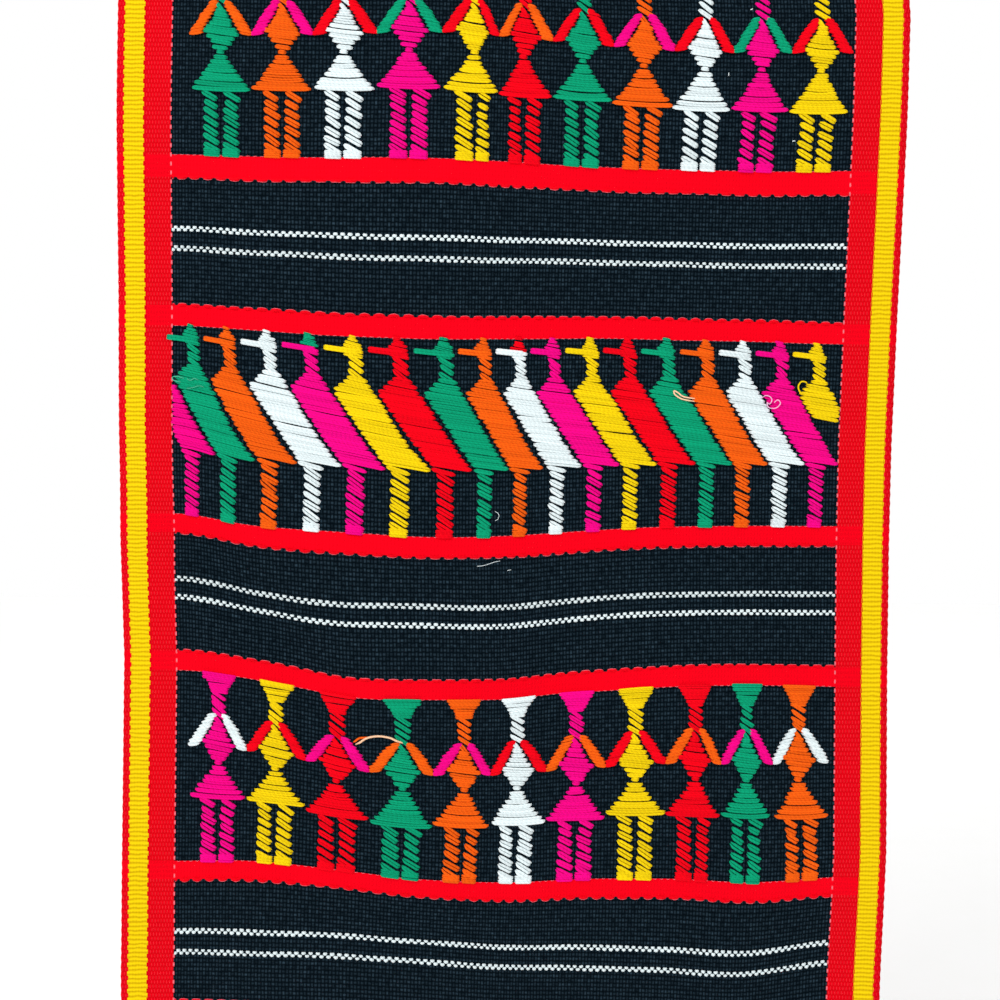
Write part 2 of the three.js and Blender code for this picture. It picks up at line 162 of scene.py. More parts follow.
# Swells and creases: across, down, reach across, reach down, lean to the right on the way down, rise
PUCKERS = [
    (-30, 128, 62, 42, 0, 3.2), (75, 150, 45, 60, 0, 2.0), (-96, 259, 15, 36, 0.9, -3.0),
    (-38, 268, 36, 46, 0, 3.8), (18, 294, 14, 40, 0.1, -2.6), (68, 268, 38, 52, 0, 2.8),
    (-74, 312, 15, 34, 0, -2.0), (-4, 385, 58, 40, 0, 3.4), (112, 398, 28, 26, 0, -2.8),
    (-114, 396, 30, 26, 0, -2.2),
]
RESTING_LIFT = 4.0  # how far the cloth stands off the wall on the whole
LIFT_STARTS, LIFT_FULL = 20.0, 90.0  # the top hem lies straight along the wall
print("drape:", len(WEFT_DIPS), "wefts,", len(PUCKERS), "swells and creases")

# %% Hang any point of the plan


def smooth_step(start, stop, value):
    t = np.clip((value - start) / (stop - start), 0, 1)
    return t * t * (3 - 2 * t)


def curve_across(values, place):
    """A smooth curve through each row of evenly spaced values, read at these places between them."""
    first = np.clip(place.astype(int), 0, values.shape[1] - 2)
    t = np.clip(place - first, 0, 1)
    slopes = np.gradient(values, axis=1)
    slopes[:, 0] = 0  # the left end of every weft leaves the border level
    start, stop = values[:, first], values[:, first + 1]
    lean = (1 - t) * slopes[:, first] - t * slopes[:, first + 1]
    return start + (stop - start) * t * t * (3 - 2 * t) + t * (1 - t) * lean


def between_wefts(table, down, read):
    """Reads a table by its wefts: read makes a value at each weft, and these are mixed on the way down."""
    wefts = np.array(list(table))
    values = read(np.array(list(table.values()), float))
    lower = np.clip(np.searchsorted(wefts, down), 1, len(wefts) - 1)
    share = np.clip((down - wefts[lower - 1]) / (wefts[lower] - wefts[lower - 1]), 0, 1)
    point = np.arange(len(down))
    return values[lower - 1, point] * (1 - share) + values[lower, point] * share


def lift(across, down):
    height = np.full(len(across), RESTING_LIFT)
    for mid_across, mid_down, wide, long, lean, rise in PUCKERS:
        below = down - mid_down
        aside = across - mid_across - lean * below
        height += rise * np.exp(-((aside / wide) ** 2) - (below / long) ** 2)
    return height * smooth_step(LIFT_STARTS, LIFT_FULL, down)


def hang(points):
    """Points of the plan (across, down, height over the cloth's face) to places in the room, in metres."""
    across, down, height = np.asarray(points, float).T
    stations = len(next(iter(WEFT_DIPS.values()))) - 1
    place = (across / FIELD_WIDTH + 0.5) * stations
    dip = between_wefts(WEFT_DIPS, down, lambda dips: curve_across(dips, place))
    right = across / WIDTH + 0.5
    sway = between_wefts(SIDE_SWAY, down, lambda side: side[:, :1] * (1 - right) + side[:, 1:] * right)
    off_wall = HEM_THICKNESS + lift(across, down) + height
    return np.column_stack([across + sway, -off_wall, -(down + dip)]) * MM


print("middle of the cloth hangs at", np.round(hang([(0, LENGTH / 2, 0)]), 4).tolist())

# %% [markdown]
# ## Small helpers for shader nodes
# A material in Blender is a graph of nodes. Making one node takes several lines: add it, set its
# options, fill its sockets, link it. One helper does all that, and the others stand on it. Another one
# makes a node group, which is a small graph with named sockets that several materials can share.

# %% Node helpers


def add_node(tree, kind, inputs=None, **options):
    """Adds a node, sets its options, and fills or links its inputs, by name or by number."""
    made = tree.nodes.new(kind)
    for option, value in options.items():
        setattr(made, option, value)
    for socket, value in (inputs or {}).items():
        if isinstance(value, bpy.types.NodeSocket):
            tree.links.new(value, made.inputs[socket])
        else:
            made.inputs[socket].default_value = value
    return made


def calc(tree, operation, *values, clamp=False):
    """One step of arithmetic on values that change over the surface."""
    inputs = dict(enumerate(values))
    return add_node(tree, "ShaderNodeMath", inputs, operation=operation, use_clamp=clamp).outputs[0]


def times(tree, *values):
    """The product of values, of which at least one changes over the surface."""
    product = values[0]
    for value in values[1:]:
        product = calc(tree, "MULTIPLY", product, value)
    return product


def blend(tree, share, first, second):
    """Goes from the first colour to the second one as the share goes from 0 to 1."""
    inputs = {"Factor": share, 6: first, 7: second}
    return add_node(tree, "ShaderNodeMix", inputs, data_type="RGBA").outputs[2]


def mixed(tree, share, first, second):
    """Goes from the first value to the second one as the share goes from 0 to 1."""
    return calc(tree, "MULTIPLY_ADD", calc(tree, "SUBTRACT", second, first), share, first)


print("helpers for arithmetic and colours ready")

# %% Groups and inputs
VALUE, VECTOR, COLOUR = "NodeSocketFloat", "NodeSocketVector", "NodeSocketColor"


def new_group(name, takes, gives):
    """A node group with these sockets: takes has (name, kind, default), and gives has (name, kind)."""
    group = bpy.data.node_groups.new(name, "ShaderNodeTree")
    for socket, kind, default in takes:
        group.interface.new_socket(socket, in_out="INPUT", socket_type=kind).default_value = default
    for socket, kind in gives:
        group.interface.new_socket(socket, in_out="OUTPUT", socket_type=kind)
    return group, add_node(group, "NodeGroupInput").outputs, add_node(group, "NodeGroupOutput").inputs


def use_group(tree, group, inputs):
    return add_node(tree, "ShaderNodeGroup", inputs, node_tree=group).outputs


def noise(tree, vector, scale, detail):
    inputs = {"Vector": vector, "Scale": scale, "Detail": detail}
    return add_node(tree, "ShaderNodeTexNoise", inputs).outputs[0]


def split(tree, vector):
    return add_node(tree, "ShaderNodeSeparateXYZ", {0: vector}).outputs


def read_uv(tree, name):
    return add_node(tree, "ShaderNodeUVMap", uv_map=name).outputs[0]


def read_value(tree, name):
    return add_node(tree, "ShaderNodeAttribute", attribute_name=name).outputs["Fac"]


print("helpers for groups and inputs ready")

# %% The dyes


def dyed(red, green, blue):
    """A colour as it is read off a picture (0 to 255), made linear for the shader."""
    shares = [value / 255 for value in (red, green, blue)]
    linear = [s / 12.92 if s <= 0.04045 else ((s + 0.055) / 1.055) ** 2.4 for s in shares]
    return (*linear, 1.0)


DYES = {
    "black": dyed(0, 7, 14),
    "red": dyed(238, 1, 24),
    "pink": dyed(239, 4, 134),
    "green": dyed(8, 156, 113),
    "orange": dyed(237, 95, 16),
    "yellow": dyed(238, 206, 12),
    "white": dyed(226, 238, 240),
    # painted highlight: the paler red of the thin strands along the lit rims of the red bands
    "red_rim_highlight": dyed(240, 104, 118),
    "pale_orange": dyed(250, 204, 166),
    "pale_green": dyed(82, 184, 150),
    "pale_pink": dyed(250, 190, 225),
}
print("dyes:", ", ".join(DYES))

# %% [markdown]
# ## Spun yarn
# Yarn is fibre that was twisted, so a strand shows fine ridges winding round it, and no two strands took
# the dye alike. The group reads where a point is along the strand and round it (a UV map that we make with
# each strand), and puts out a colour and a height. Every yarn of the tapestry uses it with its own dye.

# %% Shader group: spun yarn
TWISTS = 0.62  # turns of the spinner's twist in a millimetre of strand
PLIES = 2.0  # ridges side by side round a strand
# Noise makes the fibres: drawn out along the strand, close together round it, and new for every strand
FIBRE_ALONG, FIBRE_ROUND, FIBRE_MOVES = 0.8, 9.0, 61.0
FIBRE_SCALE, FIBRE_DETAIL = 1.6, 3.0
FIBRE_SHARE = 0.55  # of the height, and the ridges make the rest of it
HOLLOW_LIGHT, RISE_LIGHT = 0.82, 0.3  # light in the hollows, and how much more of it there is on top


def spun_yarn_group():
    takes = [("Strand", VECTOR, (0, 0, 0)), ("Shade", VALUE, 1.0), ("Dye", COLOUR, (1, 1, 1, 1))]
    group, given, out = new_group("Spun yarn", takes, [("Colour", COLOUR), ("Height", VALUE)])
    place = split(group, given["Strand"])
    turns = calc(group, "MULTIPLY_ADD", place["X"], TWISTS, times(group, place["Y"], PLIES))
    ridge = calc(group, "SINE", times(group, turns, math.tau))
    ridge = calc(group, "MULTIPLY_ADD", ridge, 0.5, 0.5)
    spot = {
        "X": times(group, place["X"], FIBRE_ALONG),
        "Y": times(group, place["Y"], FIBRE_ROUND),
        "Z": times(group, given["Shade"], FIBRE_MOVES),
    }
    stretch = add_node(group, "ShaderNodeCombineXYZ", spot).outputs[0]
    fibre = noise(group, stretch, FIBRE_SCALE, FIBRE_DETAIL)
    height = calc(group, "MULTIPLY_ADD", fibre, FIBRE_SHARE, times(group, ridge, 1 - FIBRE_SHARE))
    light = calc(group, "MULTIPLY_ADD", height, RISE_LIGHT, HOLLOW_LIGHT)
    light = times(group, light, given["Shade"])
    tint = add_node(group, "ShaderNodeHueSaturation", {"Color": given["Dye"], "Value": light})
    group.links.new(tint.outputs[0], out["Colour"])
    group.links.new(height, out["Height"])
    return group


SPUN_YARN = spun_yarn_group()
print("group", SPUN_YARN.name, "with", len(SPUN_YARN.nodes), "nodes")

# %% [markdown]
# ## Plain weave
# In plain weave every end goes over one pick and under the next one, so the face is a chessboard of small
# pillows, half of them warp and half weft. Tens of thousands of crossings are too many to model, so this
# group makes them by counting threads: how high the yarn lies, which of the two is on top, and a number
# drawn for each crossing, because no two of them catch the light alike. A thread is round across its
# length, so it reads as a fine line, and dives at its two ends.

# %% Shader group: plain weave
THREAD_SHARP = 1.3  # above 1, a thread's top is narrower than a plain wave


def round_thread(tree, count):
    """A thread is highest half way between two counts."""
    return calc(tree, "SINE", times(tree, calc(tree, "FRACT", count), math.pi))


def plain_weave_group():
    takes = [("Threads", VECTOR, (0, 0, 0)), ("Ends", VALUE, 1.0)]
    gives = [("Height", VALUE), ("Warp on top", VALUE), ("Luck", VALUE)]
    group, given, out = new_group("Plain weave", takes, gives)
    count = split(group, given["Threads"])
    ends = times(group, count["X"], given["Ends"])
    end, pick = calc(group, "FLOOR", ends), calc(group, "FLOOR", count["Y"])
    square = add_node(group, "ShaderNodeCombineXYZ", {"X": end, "Y": pick}).outputs[0]
    luck = add_node(group, "ShaderNodeTexWhiteNoise", {"Vector": square}).outputs["Value"]
    crossing = calc(group, "ADD", end, pick)
    warp = calc(group, "GREATER_THAN", calc(group, "FLOORED_MODULO", crossing, 2.0), 0.5)
    end_height, pick_height = round_thread(group, ends), round_thread(group, count["Y"])
    over_thread = mixed(group, warp, pick_height, end_height)
    along_thread = mixed(group, warp, end_height, pick_height)
    ridge = calc(group, "POWER", over_thread, THREAD_SHARP)
    height = times(group, ridge, calc(group, "SQRT", along_thread))
    group.links.new(height, out["Height"])
    group.links.new(warp, out["Warp on top"])
    group.links.new(luck, out["Luck"])
    return group


PLAIN_WEAVE = plain_weave_group()
print("group", PLAIN_WEAVE.name, "with", len(PLAIN_WEAVE.nodes), "nodes")

# %% [markdown]
# ## Yarn materials
# All figures are made of the same soft yarn in different dyes, so one function makes all the materials.
# The group gives colour and height; the height goes through a Bump node into the normal. Sheen is the
# soft light on the fibre ends. It is the same all over, so it is set on the shader itself.

# %% The yarns
BUMP_STRENGTH = 0.7
SHEEN_ROUGHNESS = 0.6


def fabric_shader(tree, colour, height, bump_depth, roughness, shine, sheen):
    """The Principled shader that all cloth here ends in. The depth of the bump is in millimetres."""
    relief = {"Height": height, "Strength": BUMP_STRENGTH, "Distance": bump_depth * MM}
    inputs = {
        "Base Color": colour,
        "Normal": add_node(tree, "ShaderNodeBump", relief).outputs[0],
        "Roughness": roughness,
        "Specular IOR Level": shine,
        "Sheen Weight": sheen,
        "Sheen Roughness": SHEEN_ROUGHNESS,
    }
    shader = add_node(tree, "ShaderNodeBsdfPrincipled", inputs)
    add_node(tree, "ShaderNodeOutputMaterial", {"Surface": shader.outputs[0]})


def new_material(name):
    material = bpy.data.materials.new(name)
    material.use_nodes = True
    material.node_tree.nodes.clear()
    return material, material.node_tree


def yarn_material(dye):
    material, tree = new_material(f"spun_{dye}")
    inputs = {"Strand": read_uv(tree, "strand"), "Shade": read_value(tree, "shade"), "Dye": DYES[dye]}
    yarn = use_group(tree, SPUN_YARN, inputs)
    fabric_shader(
        tree, yarn["Colour"], yarn["Height"], bump_depth=0.14, roughness=0.88, shine=0.04, sheen=0.01
    )
    return material


YARNS = {dye: yarn_material(dye) for dye in DYES if dye != "black"}
print("yarn materials:", ", ".join(material.name for material in YARNS.values()))

# %% [markdown]
# ## The web's own material
# On the loom the side stripes are dyed warp, and the red bands are dyed weft. A colour ramp with hard
# steps could hold such a plan, but Blender keeps a ramp in 256 steps, too coarse for single yarns. So
# each stripe and band is a mask from a Compare node. The weave group shades them, with a coarser rib in
# the yellow stripe.

# %% Stripes and bands
RED_STOPS = FIELD_WIDTH / 2 + RED_BORDER  # from the middle of the cloth
YELLOW_STOPS = RED_STOPS + YELLOW_STRIPE
# A band's edge towards the plain ground is scalloped by a strand of its own, and the other one is straight
SCALLOPED_INSET, STRAIGHT_INSET = 0.95, 0.15


def scalloped_above(band):
    """The bands come in pairs round a row of figures, and the scallops look away from the figures."""
    return band % 2 == 0


def in_range(tree, value, start, stop):
    """A mask: 1 from start to stop, and 0 elsewhere."""
    return calc(tree, "COMPARE", value, (start + stop) / 2, (stop - start) / 2)


def white_dots(tree, end, down):
    """Where the white picks come out on the back: over every second end, and by turns in the two picks."""
    odd = calc(tree, "FLOORED_MODULO", calc(tree, "FLOOR", end), 2.0)
    even = calc(tree, "SUBTRACT", 1.0, odd)
    whole = 0.0
    for line in WHITE_LINES:
        first = in_range(tree, down, line - WHITE_APART, line)
        second = in_range(tree, down, line, line + WHITE_APART)
        whole = calc(tree, "MULTIPLY_ADD", first, odd, whole)
        whole = calc(tree, "MULTIPLY_ADD", second, even, whole)
    return whole


def red_bands(tree, down):
    whole = 0.0
    for band, (start, stop) in enumerate(RED_BANDS):
        insets = SCALLOPED_INSET, STRAIGHT_INSET
        above, below = insets if scalloped_above(band) else insets[::-1]
        whole = calc(tree, "ADD", whole, in_range(tree, down, start + above, stop - below))
    return whole


print("red to", RED_STOPS, "mm and yellow to", YELLOW_STOPS, "mm from the middle, bands:", len(RED_BANDS))

# %% Dye the black ground, with painted highlights on its threads
GROUND_LIGHT = dyed(54, 75, 89)  # light on the tops of the black yarn
GROUND_SHARP = 1.6  # the higher, the finer the lit tops
# A noise lays the painted highlights of the ground and of the red dots in patches
LIGHT_PATCH_SCALE, LIGHT_PATCH_DETAIL = 0.55, 3.0
LIGHT_PATCH_GAIN, LIGHT_PATCH_LEAST = 1.5, -0.3  # they stretch the noise, so that some patches have no painted light at all
LUCK_GAIN, LUCK_LEAST = 0.6, 0.5  # how much light a crossing catches
ON_BACK = 0.9  # the value called behind is 1 on the back of the cloth and 0 on its face


def painted_light_patches(tree, plan):
    """Painted light: some patches of the cloth catch more light than others."""
    patches = noise(tree, plan, LIGHT_PATCH_SCALE, LIGHT_PATCH_DETAIL)
    return calc(tree, "MULTIPLY_ADD", patches, LIGHT_PATCH_GAIN, LIGHT_PATCH_LEAST, clamp=True)


def black_ground(tree, weave, light_patches, dots, behind):
    """The black yarn with light on its tops, and on the back the dots of the white picks."""
    luck = calc(tree, "MULTIPLY_ADD", weave["Luck"], LUCK_GAIN, LUCK_LEAST)
    thin = times(tree, calc(tree, "POWER", weave["Height"], GROUND_SHARP), luck)
    black = blend(tree, calc(tree, "MULTIPLY", thin, light_patches, clamp=True), DYES["black"], GROUND_LIGHT)
    white = times(tree, dots, calc(tree, "GREATER_THAN", behind, ON_BACK))
    return blend(tree, white, black, DYES["white"])


print("the ground's light patches are about", round(1 / LIGHT_PATCH_SCALE, 1), "mm wide")

# %% Dye the red and the yellow, with painted shade and highlights
# painted shade: the red in the hollows between the border's close ends, and in its shadow line
RED_IN_SHADE = dyed(204, 0, 12)
# painted highlights: on the tops of the border's close ends, and as pale dots down its inner edge
RED_DOT_HIGHLIGHT = dyed(254, 58, 68)
RED_EDGE_GLINT = dyed(244, 146, 162)
# painted shade of the yellow, in the hollows between its ribs
YELLOW_IN_SHADE = dyed(190, 146, 2)
DOT_SHARP = 2.5  # the higher, the smaller the dots
DOT_PATCH_SHARE = 0.7  # the share of the dots' painted highlight that comes and goes with the patches of painted light
SHADOW_WIDTH, SHADOW_DEPTH = 0.5, 0.7  # painted shadow line between the red and the yellow: its width, and how dark it is
EDGE_DOT = 0.55  # painted highlights as pale dots down the inner edge of the red borders, one on every second pick
EDGE_DOT_SHARP, EDGE_DOT_LIGHT = 0.7, 0.65
RIB_WAVES, RIB_DETAIL = 0.25, 2.0
RIB_WANDER = 0.6  # how far a rib may wander, in picks
RIB_SHARE = 0.8  # of the yellow's relief, and its crossings make the rest
# over 1, the tops of the ribs get the full yellow and the painted shade lies only between them
RIB_LIGHT = 1.15


def red_yarn(tree, close_weave, light_patches, in_border, in_band):
    """Painted highlights on the tops of its close ends show as staggered dots in the borders, but not in the
    bands.
    """
    # painted shade between the close ends, but none in the bands
    red = blend(tree, calc(tree, "MAXIMUM", close_weave["Height"], in_band), RED_IN_SHADE, DYES["red"])
    # painted highlights on the tops of the ends on top, which come and go with the patches of painted light
    dots = calc(tree, "POWER", close_weave["Height"], DOT_SHARP)
    light = calc(tree, "MULTIPLY_ADD", light_patches, DOT_PATCH_SHARE, 1 - DOT_PATCH_SHARE)
    no_band = calc(tree, "SUBTRACT", 1.0, in_band)
    dots = times(tree, dots, close_weave["Warp on top"], light, no_band, in_border)
    return blend(tree, dots, red, RED_DOT_HIGHLIGHT)


def red_edges(tree, red, warp, pick, from_middle):
    """A painted shadow line on the outer side of the red border, and painted highlights as pale dots on its
    inner side.
    """
    shadow_line = in_range(tree, from_middle, RED_STOPS - SHADOW_WIDTH, RED_STOPS)
    red = blend(tree, times(tree, shadow_line, SHADOW_DEPTH), red, RED_IN_SHADE)
    # painted highlights on the ends on top, down the inner edge of the border
    edge = in_range(tree, from_middle, FIELD_WIDTH / 2, FIELD_WIDTH / 2 + EDGE_DOT)
    dots = calc(tree, "POWER", round_thread(tree, pick), EDGE_DOT_SHARP)
    return blend(tree, times(tree, warp, dots, edge, EDGE_DOT_LIGHT), red, RED_EDGE_GLINT)


def yellow_rib(tree, plan, pick, weave):
    """Each pick under the yellow stripe is a rib, and the ribs wander a little."""
    wave = noise(tree, plan, RIB_WAVES, RIB_DETAIL)
    rib = round_thread(tree, calc(tree, "MULTIPLY_ADD", wave, RIB_WANDER, pick))
    return calc(tree, "MULTIPLY_ADD", weave["Height"], 1 - RIB_SHARE, times(tree, rib, RIB_SHARE))


print("red dots, a seam of", SHADOW_WIDTH, "mm and edge dots of", EDGE_DOT, "mm")

# %% Dye the web
BORDER_ENDS = 2.0  # the borders have twice as many ends
EDGE_STEP = 0.2  # the edge of a stripe steps out and in by this much from crossing to crossing


def web_material():
    material, tree = new_material("woven_web")
    plan, threads = read_uv(tree, "plan"), read_uv(tree, "threads")
    across, down = split(tree, plan)[:2]
    end, pick = split(tree, threads)[:2]
    weave = use_group(tree, PLAIN_WEAVE, {"Threads": threads})
    close_weave = use_group(tree, PLAIN_WEAVE, {"Threads": threads, "Ends": BORDER_ENDS})
    step = calc(tree, "MULTIPLY_ADD", weave["Warp on top"], 2 * EDGE_STEP, -EDGE_STEP)
    from_middle = calc(tree, "ADD", calc(tree, "ABSOLUTE", across), step)
    in_border = calc(tree, "GREATER_THAN", from_middle, FIELD_WIDTH / 2)
    in_yellow = in_range(tree, from_middle, RED_STOPS, YELLOW_STOPS)
    in_band = red_bands(tree, down)
    light_patches = painted_light_patches(tree, plan)
    black = black_ground(tree, weave, light_patches, white_dots(tree, end, down), read_value(tree, "behind"))
    red = red_yarn(tree, close_weave, light_patches, in_border, in_band)
    red = red_edges(tree, red, weave["Warp on top"], pick, from_middle)
    rib = yellow_rib(tree, plan, pick, weave)
    # painted shade between the ribs of the yellow
    yellow = blend(tree, calc(tree, "MULTIPLY", rib, RIB_LIGHT, clamp=True), YELLOW_IN_SHADE, DYES["yellow"])
    colour = blend(tree, calc(tree, "MAXIMUM", in_border, in_band), black, red)
    colour = blend(tree, in_yellow, colour, yellow)
    height = mixed(tree, in_border, weave["Height"], close_weave["Height"])
    height = mixed(tree, in_yellow, height, rib)
    fabric_shader(tree, colour, height, bump_depth=0.3, roughness=0.92, shine=0.03, sheen=0.005)
    return material


WEB_CLOTH = web_material()
print("web material with", len(WEB_CLOTH.node_tree.nodes), "nodes")

# %% [markdown]
# ## From arrays to a mesh
# We work out points with numpy and hand Blender the finished lists. UV maps and named values, such as the
# shade of each strand, go in the same way, because foreach_set is much quicker than a loop over points.

# %% Mesh helper


def new_piece(name, points, faces, uv_maps, materials, values, face_yarns=None):
    """A smooth mesh object from points in the room, with a place in each UV map and named values for each."""
    mesh = bpy.data.meshes.new(name)
    mesh.from_pydata(np.asarray(points).tolist(), [], faces)
    corners = np.empty(len(mesh.loops), np.int32)
    mesh.loops.foreach_get("vertex_index", corners)
    for uv_name, uv in uv_maps.items():
        layer = mesh.uv_layers.new(name=uv_name)
        layer.uv.foreach_set("vector", np.asarray(uv, np.float32)[corners].ravel())
    for value_name, value in values.items():
        mesh.attributes.new(value_name, "FLOAT", "POINT").data.foreach_set("value", np.float32(value))
    for material in materials:
        mesh.materials.append(material)
    if face_yarns is not None:
        mesh.polygons.foreach_set("material_index", face_yarns)
    mesh.shade_smooth()
    mesh.validate()
    piece = put_in_scene(name, mesh)
    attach(piece, "root")
    return piece


def triangles(piece):
    return sum(len(face.vertices) - 2 for face in piece.data.polygons)


print("mesh helper ready")

# %% [markdown]
# ## The web
# The cloth is a closed sheet: a face, a back, and a rim that bulges a little between them, as a fold or a
# selvedge does. The rows are close enough to carry the drape, and the outermost points step in
# and out from row to row, where the weft turns round the last end. The hems are a second layer on the back.

# %% Rows and faces of the web
WEB_COLUMNS, WEB_ROWS = 130, 256


def thickness(down):
    one_layer = np.clip((np.minimum(down, LENGTH - down) - HEM_DEPTH) / HEM_STEP, 0, 1)
    return HEM_THICKNESS + (CLOTH_THICKNESS - HEM_THICKNESS) * one_layer


def web_rows():
    """Distances down of the web's rows, with two of them moved to the inner edge of each hem."""
    rows = np.linspace(0, LENGTH, WEB_ROWS + 1)
    for edge in (HEM_DEPTH, HEM_DEPTH + HEM_STEP, LENGTH - HEM_DEPTH - HEM_STEP, LENGTH - HEM_DEPTH):
        rows[np.argmin(np.abs(rows - edge))] = edge
    return np.sort(rows)


def web_faces(rows, columns):
    """Quads of the face, the back and the rim, with the corners' numbers counted row by row."""
    number = np.arange(rows * columns).reshape(rows, columns)
    a, b, c, d = number[1:, :-1], number[1:, 1:], number[:-1, 1:], number[:-1, :-1]
    front = np.stack([a, b, c, d], axis=-1).reshape(-1, 4)
    back = front[:, ::-1] + rows * columns
    loop = np.concatenate([number[0, :-1], number[:-1, -1], number[-1, :0:-1], number[:0:-1, 0]])
    following = np.roll(loop, -1)
    middle = 2 * rows * columns + np.arange(len(loop))
    next_middle = np.roll(middle, -1)
    to_front = np.stack([loop, following, next_middle, middle], axis=-1)
    to_back = np.stack([middle, next_middle, following + rows * columns, loop + rows * columns], axis=-1)
    return loop, np.concatenate([front, back, to_front, to_back])


print("web:", len(web_rows()), "rows of", WEB_COLUMNS + 1, "points")

# %% Weave the web
WEFT_TURN = 0.1  # how far the turning weft swells the side edge
RIM_BULGE = 0.5
NEAR_SIDE, NEAR_END = 1.0, 0.1  # closer to the edge than this, a point lies on it


def weave_web():
    rows = web_rows()
    columns = np.linspace(-WIDTH / 2, WIDTH / 2, WEB_COLUMNS + 1)
    down, across = np.meshgrid(rows, columns, indexing="ij")
    turn = WEFT_TURN * np.where(np.arange(len(rows)) % 2, 1, -1)
    across[:, 0] -= turn
    across[:, -1] += turn
    plan = np.column_stack([across.ravel(), down.ravel()])
    loop, faces = web_faces(len(rows), len(columns))
    edge = plan[loop]
    outward = np.column_stack([
        np.where(np.abs(edge[:, 0]) > WIDTH / 2 - NEAR_SIDE, np.sign(edge[:, 0]), 0),
        np.where(edge[:, 1] < NEAR_END, -1, np.where(edge[:, 1] > LENGTH - NEAR_END, 1, 0)),
    ])
    layers = [
        np.column_stack([plan, np.zeros(len(plan))]),
        np.column_stack([plan, -thickness(plan[:, 1])]),
        np.column_stack([edge + RIM_BULGE * outward, -thickness(edge[:, 1]) / 2]),
    ]
    flat = np.concatenate([plan, plan, edge])
    threads = np.column_stack([count_ends(flat[:, 0]), flat[:, 1] / PICK])
    uv_maps = {"plan": flat, "threads": threads}
    behind = {"behind": np.repeat([0.0, 1.0, 0.5], [len(plan), len(plan), len(edge)])}
    return new_piece("woven_web", hang(np.concatenate(layers)), faces.tolist(), uv_maps, [WEB_CLOTH], behind)


web = weave_web()
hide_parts("web")
print("web:", triangles(web), "triangles")

# %% [markdown]
# ## Strands
# Every figure is laid in with long loose strands, so a strand is our brick. It is a tube along a path of
# the plan, wider than high, with six sides. Its two ends dive into the cloth, as yarn does where it goes
# to the back. Blender's curves can be bevelled too, but a mesh keeps each strand's own shade and UV.

# %% A basket of strands
STRAND_SIDES = 6
ROUND = np.arange(STRAND_SIDES) / STRAND_SIDES
SEAM_TURN = 0.25  # a quarter turn puts the join of the UV map underneath
TWIST_STARTS = (0, 9)  # the twist of each strand starts somewhere else
SHADES = (0.88, 1.06)  # how dark and how light a strand may come out of the dye
TINY = 1e-9  # added where a length may be 0, before something is divided by it


class Basket:
    """Strands that become one piece. Its own seed makes it come out the same each time."""

    def __init__(self, name, seed):
        self.name = name
        self.chance = np.random.default_rng(seed)
        self.points, self.uv, self.shades, self.faces, self.yarns = [], [], [], [], []
        self.count = 0

    def lay(self, path, half_width, half_height, yarn=0):
        """A closed tube along a path of (across, down, height), with a half width at each of its points."""
        path = np.asarray(path, float)
        run = np.gradient(path[:, :2], axis=0)
        run /= np.linalg.norm(run, axis=1)[:, None] + TINY
        aside = np.column_stack([-run[:, 1], run[:, 0], np.zeros(len(run))])
        turn = (ROUND - SEAM_TURN) * math.tau
        half_width = np.broadcast_to(half_width, len(path))
        half_height = np.broadcast_to(half_height, len(path))
        rings = path[:, None] + aside[:, None] * (half_width[:, None] * np.cos(turn))[..., None]
        rings[..., 2] += half_height[:, None] * np.sin(turn)
        along = np.concatenate([[0], np.cumsum(np.linalg.norm(np.diff(path, axis=0), axis=1))])
        along += self.chance.uniform(*TWIST_STARTS)
        self.uv.append(np.stack(np.broadcast_arrays(along[:, None], ROUND), -1).reshape(-1, 2))
        self.points.append(rings.reshape(-1, 3))
        self.shades.append(np.full(rings[..., 0].size, self.chance.uniform(*SHADES)))
        number = np.arange(rings[..., 0].size).reshape(len(path), STRAND_SIDES) + self.count
        onward = np.roll(number, -1, axis=1)
        sides = np.stack([number[:-1], onward[:-1], onward[1:], number[1:]], -1).reshape(-1, 4)
        new_faces = sides.tolist() + [number[0, ::-1].tolist(), number[-1].tolist()]
        self.faces += new_faces
        self.yarns += [yarn] * len(new_faces)
        self.count += rings[..., 0].size

    def finish(self, dyes):
        return new_piece(
            self.name, hang(np.concatenate(self.points)), self.faces, {"strand": np.concatenate(self.uv)},
            [YARNS[dye] for dye in dyes], {"shade": np.concatenate(self.shades)}, self.yarns,
        )


print("strand:", STRAND_SIDES, "sides")

# %% [markdown]
# ## White picks and the edges of the red bands
# The white lines are two picks of white weft. Each goes over an end and under the next one, and the
# second does the opposite, so they read as a zigzag. The outer pick of a red band goes over two ends at a
# time, which makes scallops, and light catches their rims: a thin strand of a paler red along each rim
# paints that light. These picks show so clearly that they are real strands.

# %% Wave a pick
PICK_SINKS = -0.3  # middle of a pick under the face
PICK_WAVE = 0.6
PICK_HALF = 0.56
RIM_HALF = 0.12  # half the thickness of the paler strand that paints the highlight on the rim of a scallop, and of a band's straight edge
RIM_SINKS = -0.12
PICK_STEP = 0.36
PICK_SHORT = 0.2  # a pick stops this far from the border
PICK_JITTER = 0.04
# Slow waves along a pick: how strong they are, and a length across that sets how slow
PICK_WANDER, WANDER_LENGTH = 0.1, 7
PICK_SWELL, SWELL_LENGTH = 0.1, 3.1
BULGE_MEAN, BULGE_SWING, BULGE_LENGTH = 0.8, 0.35, 19


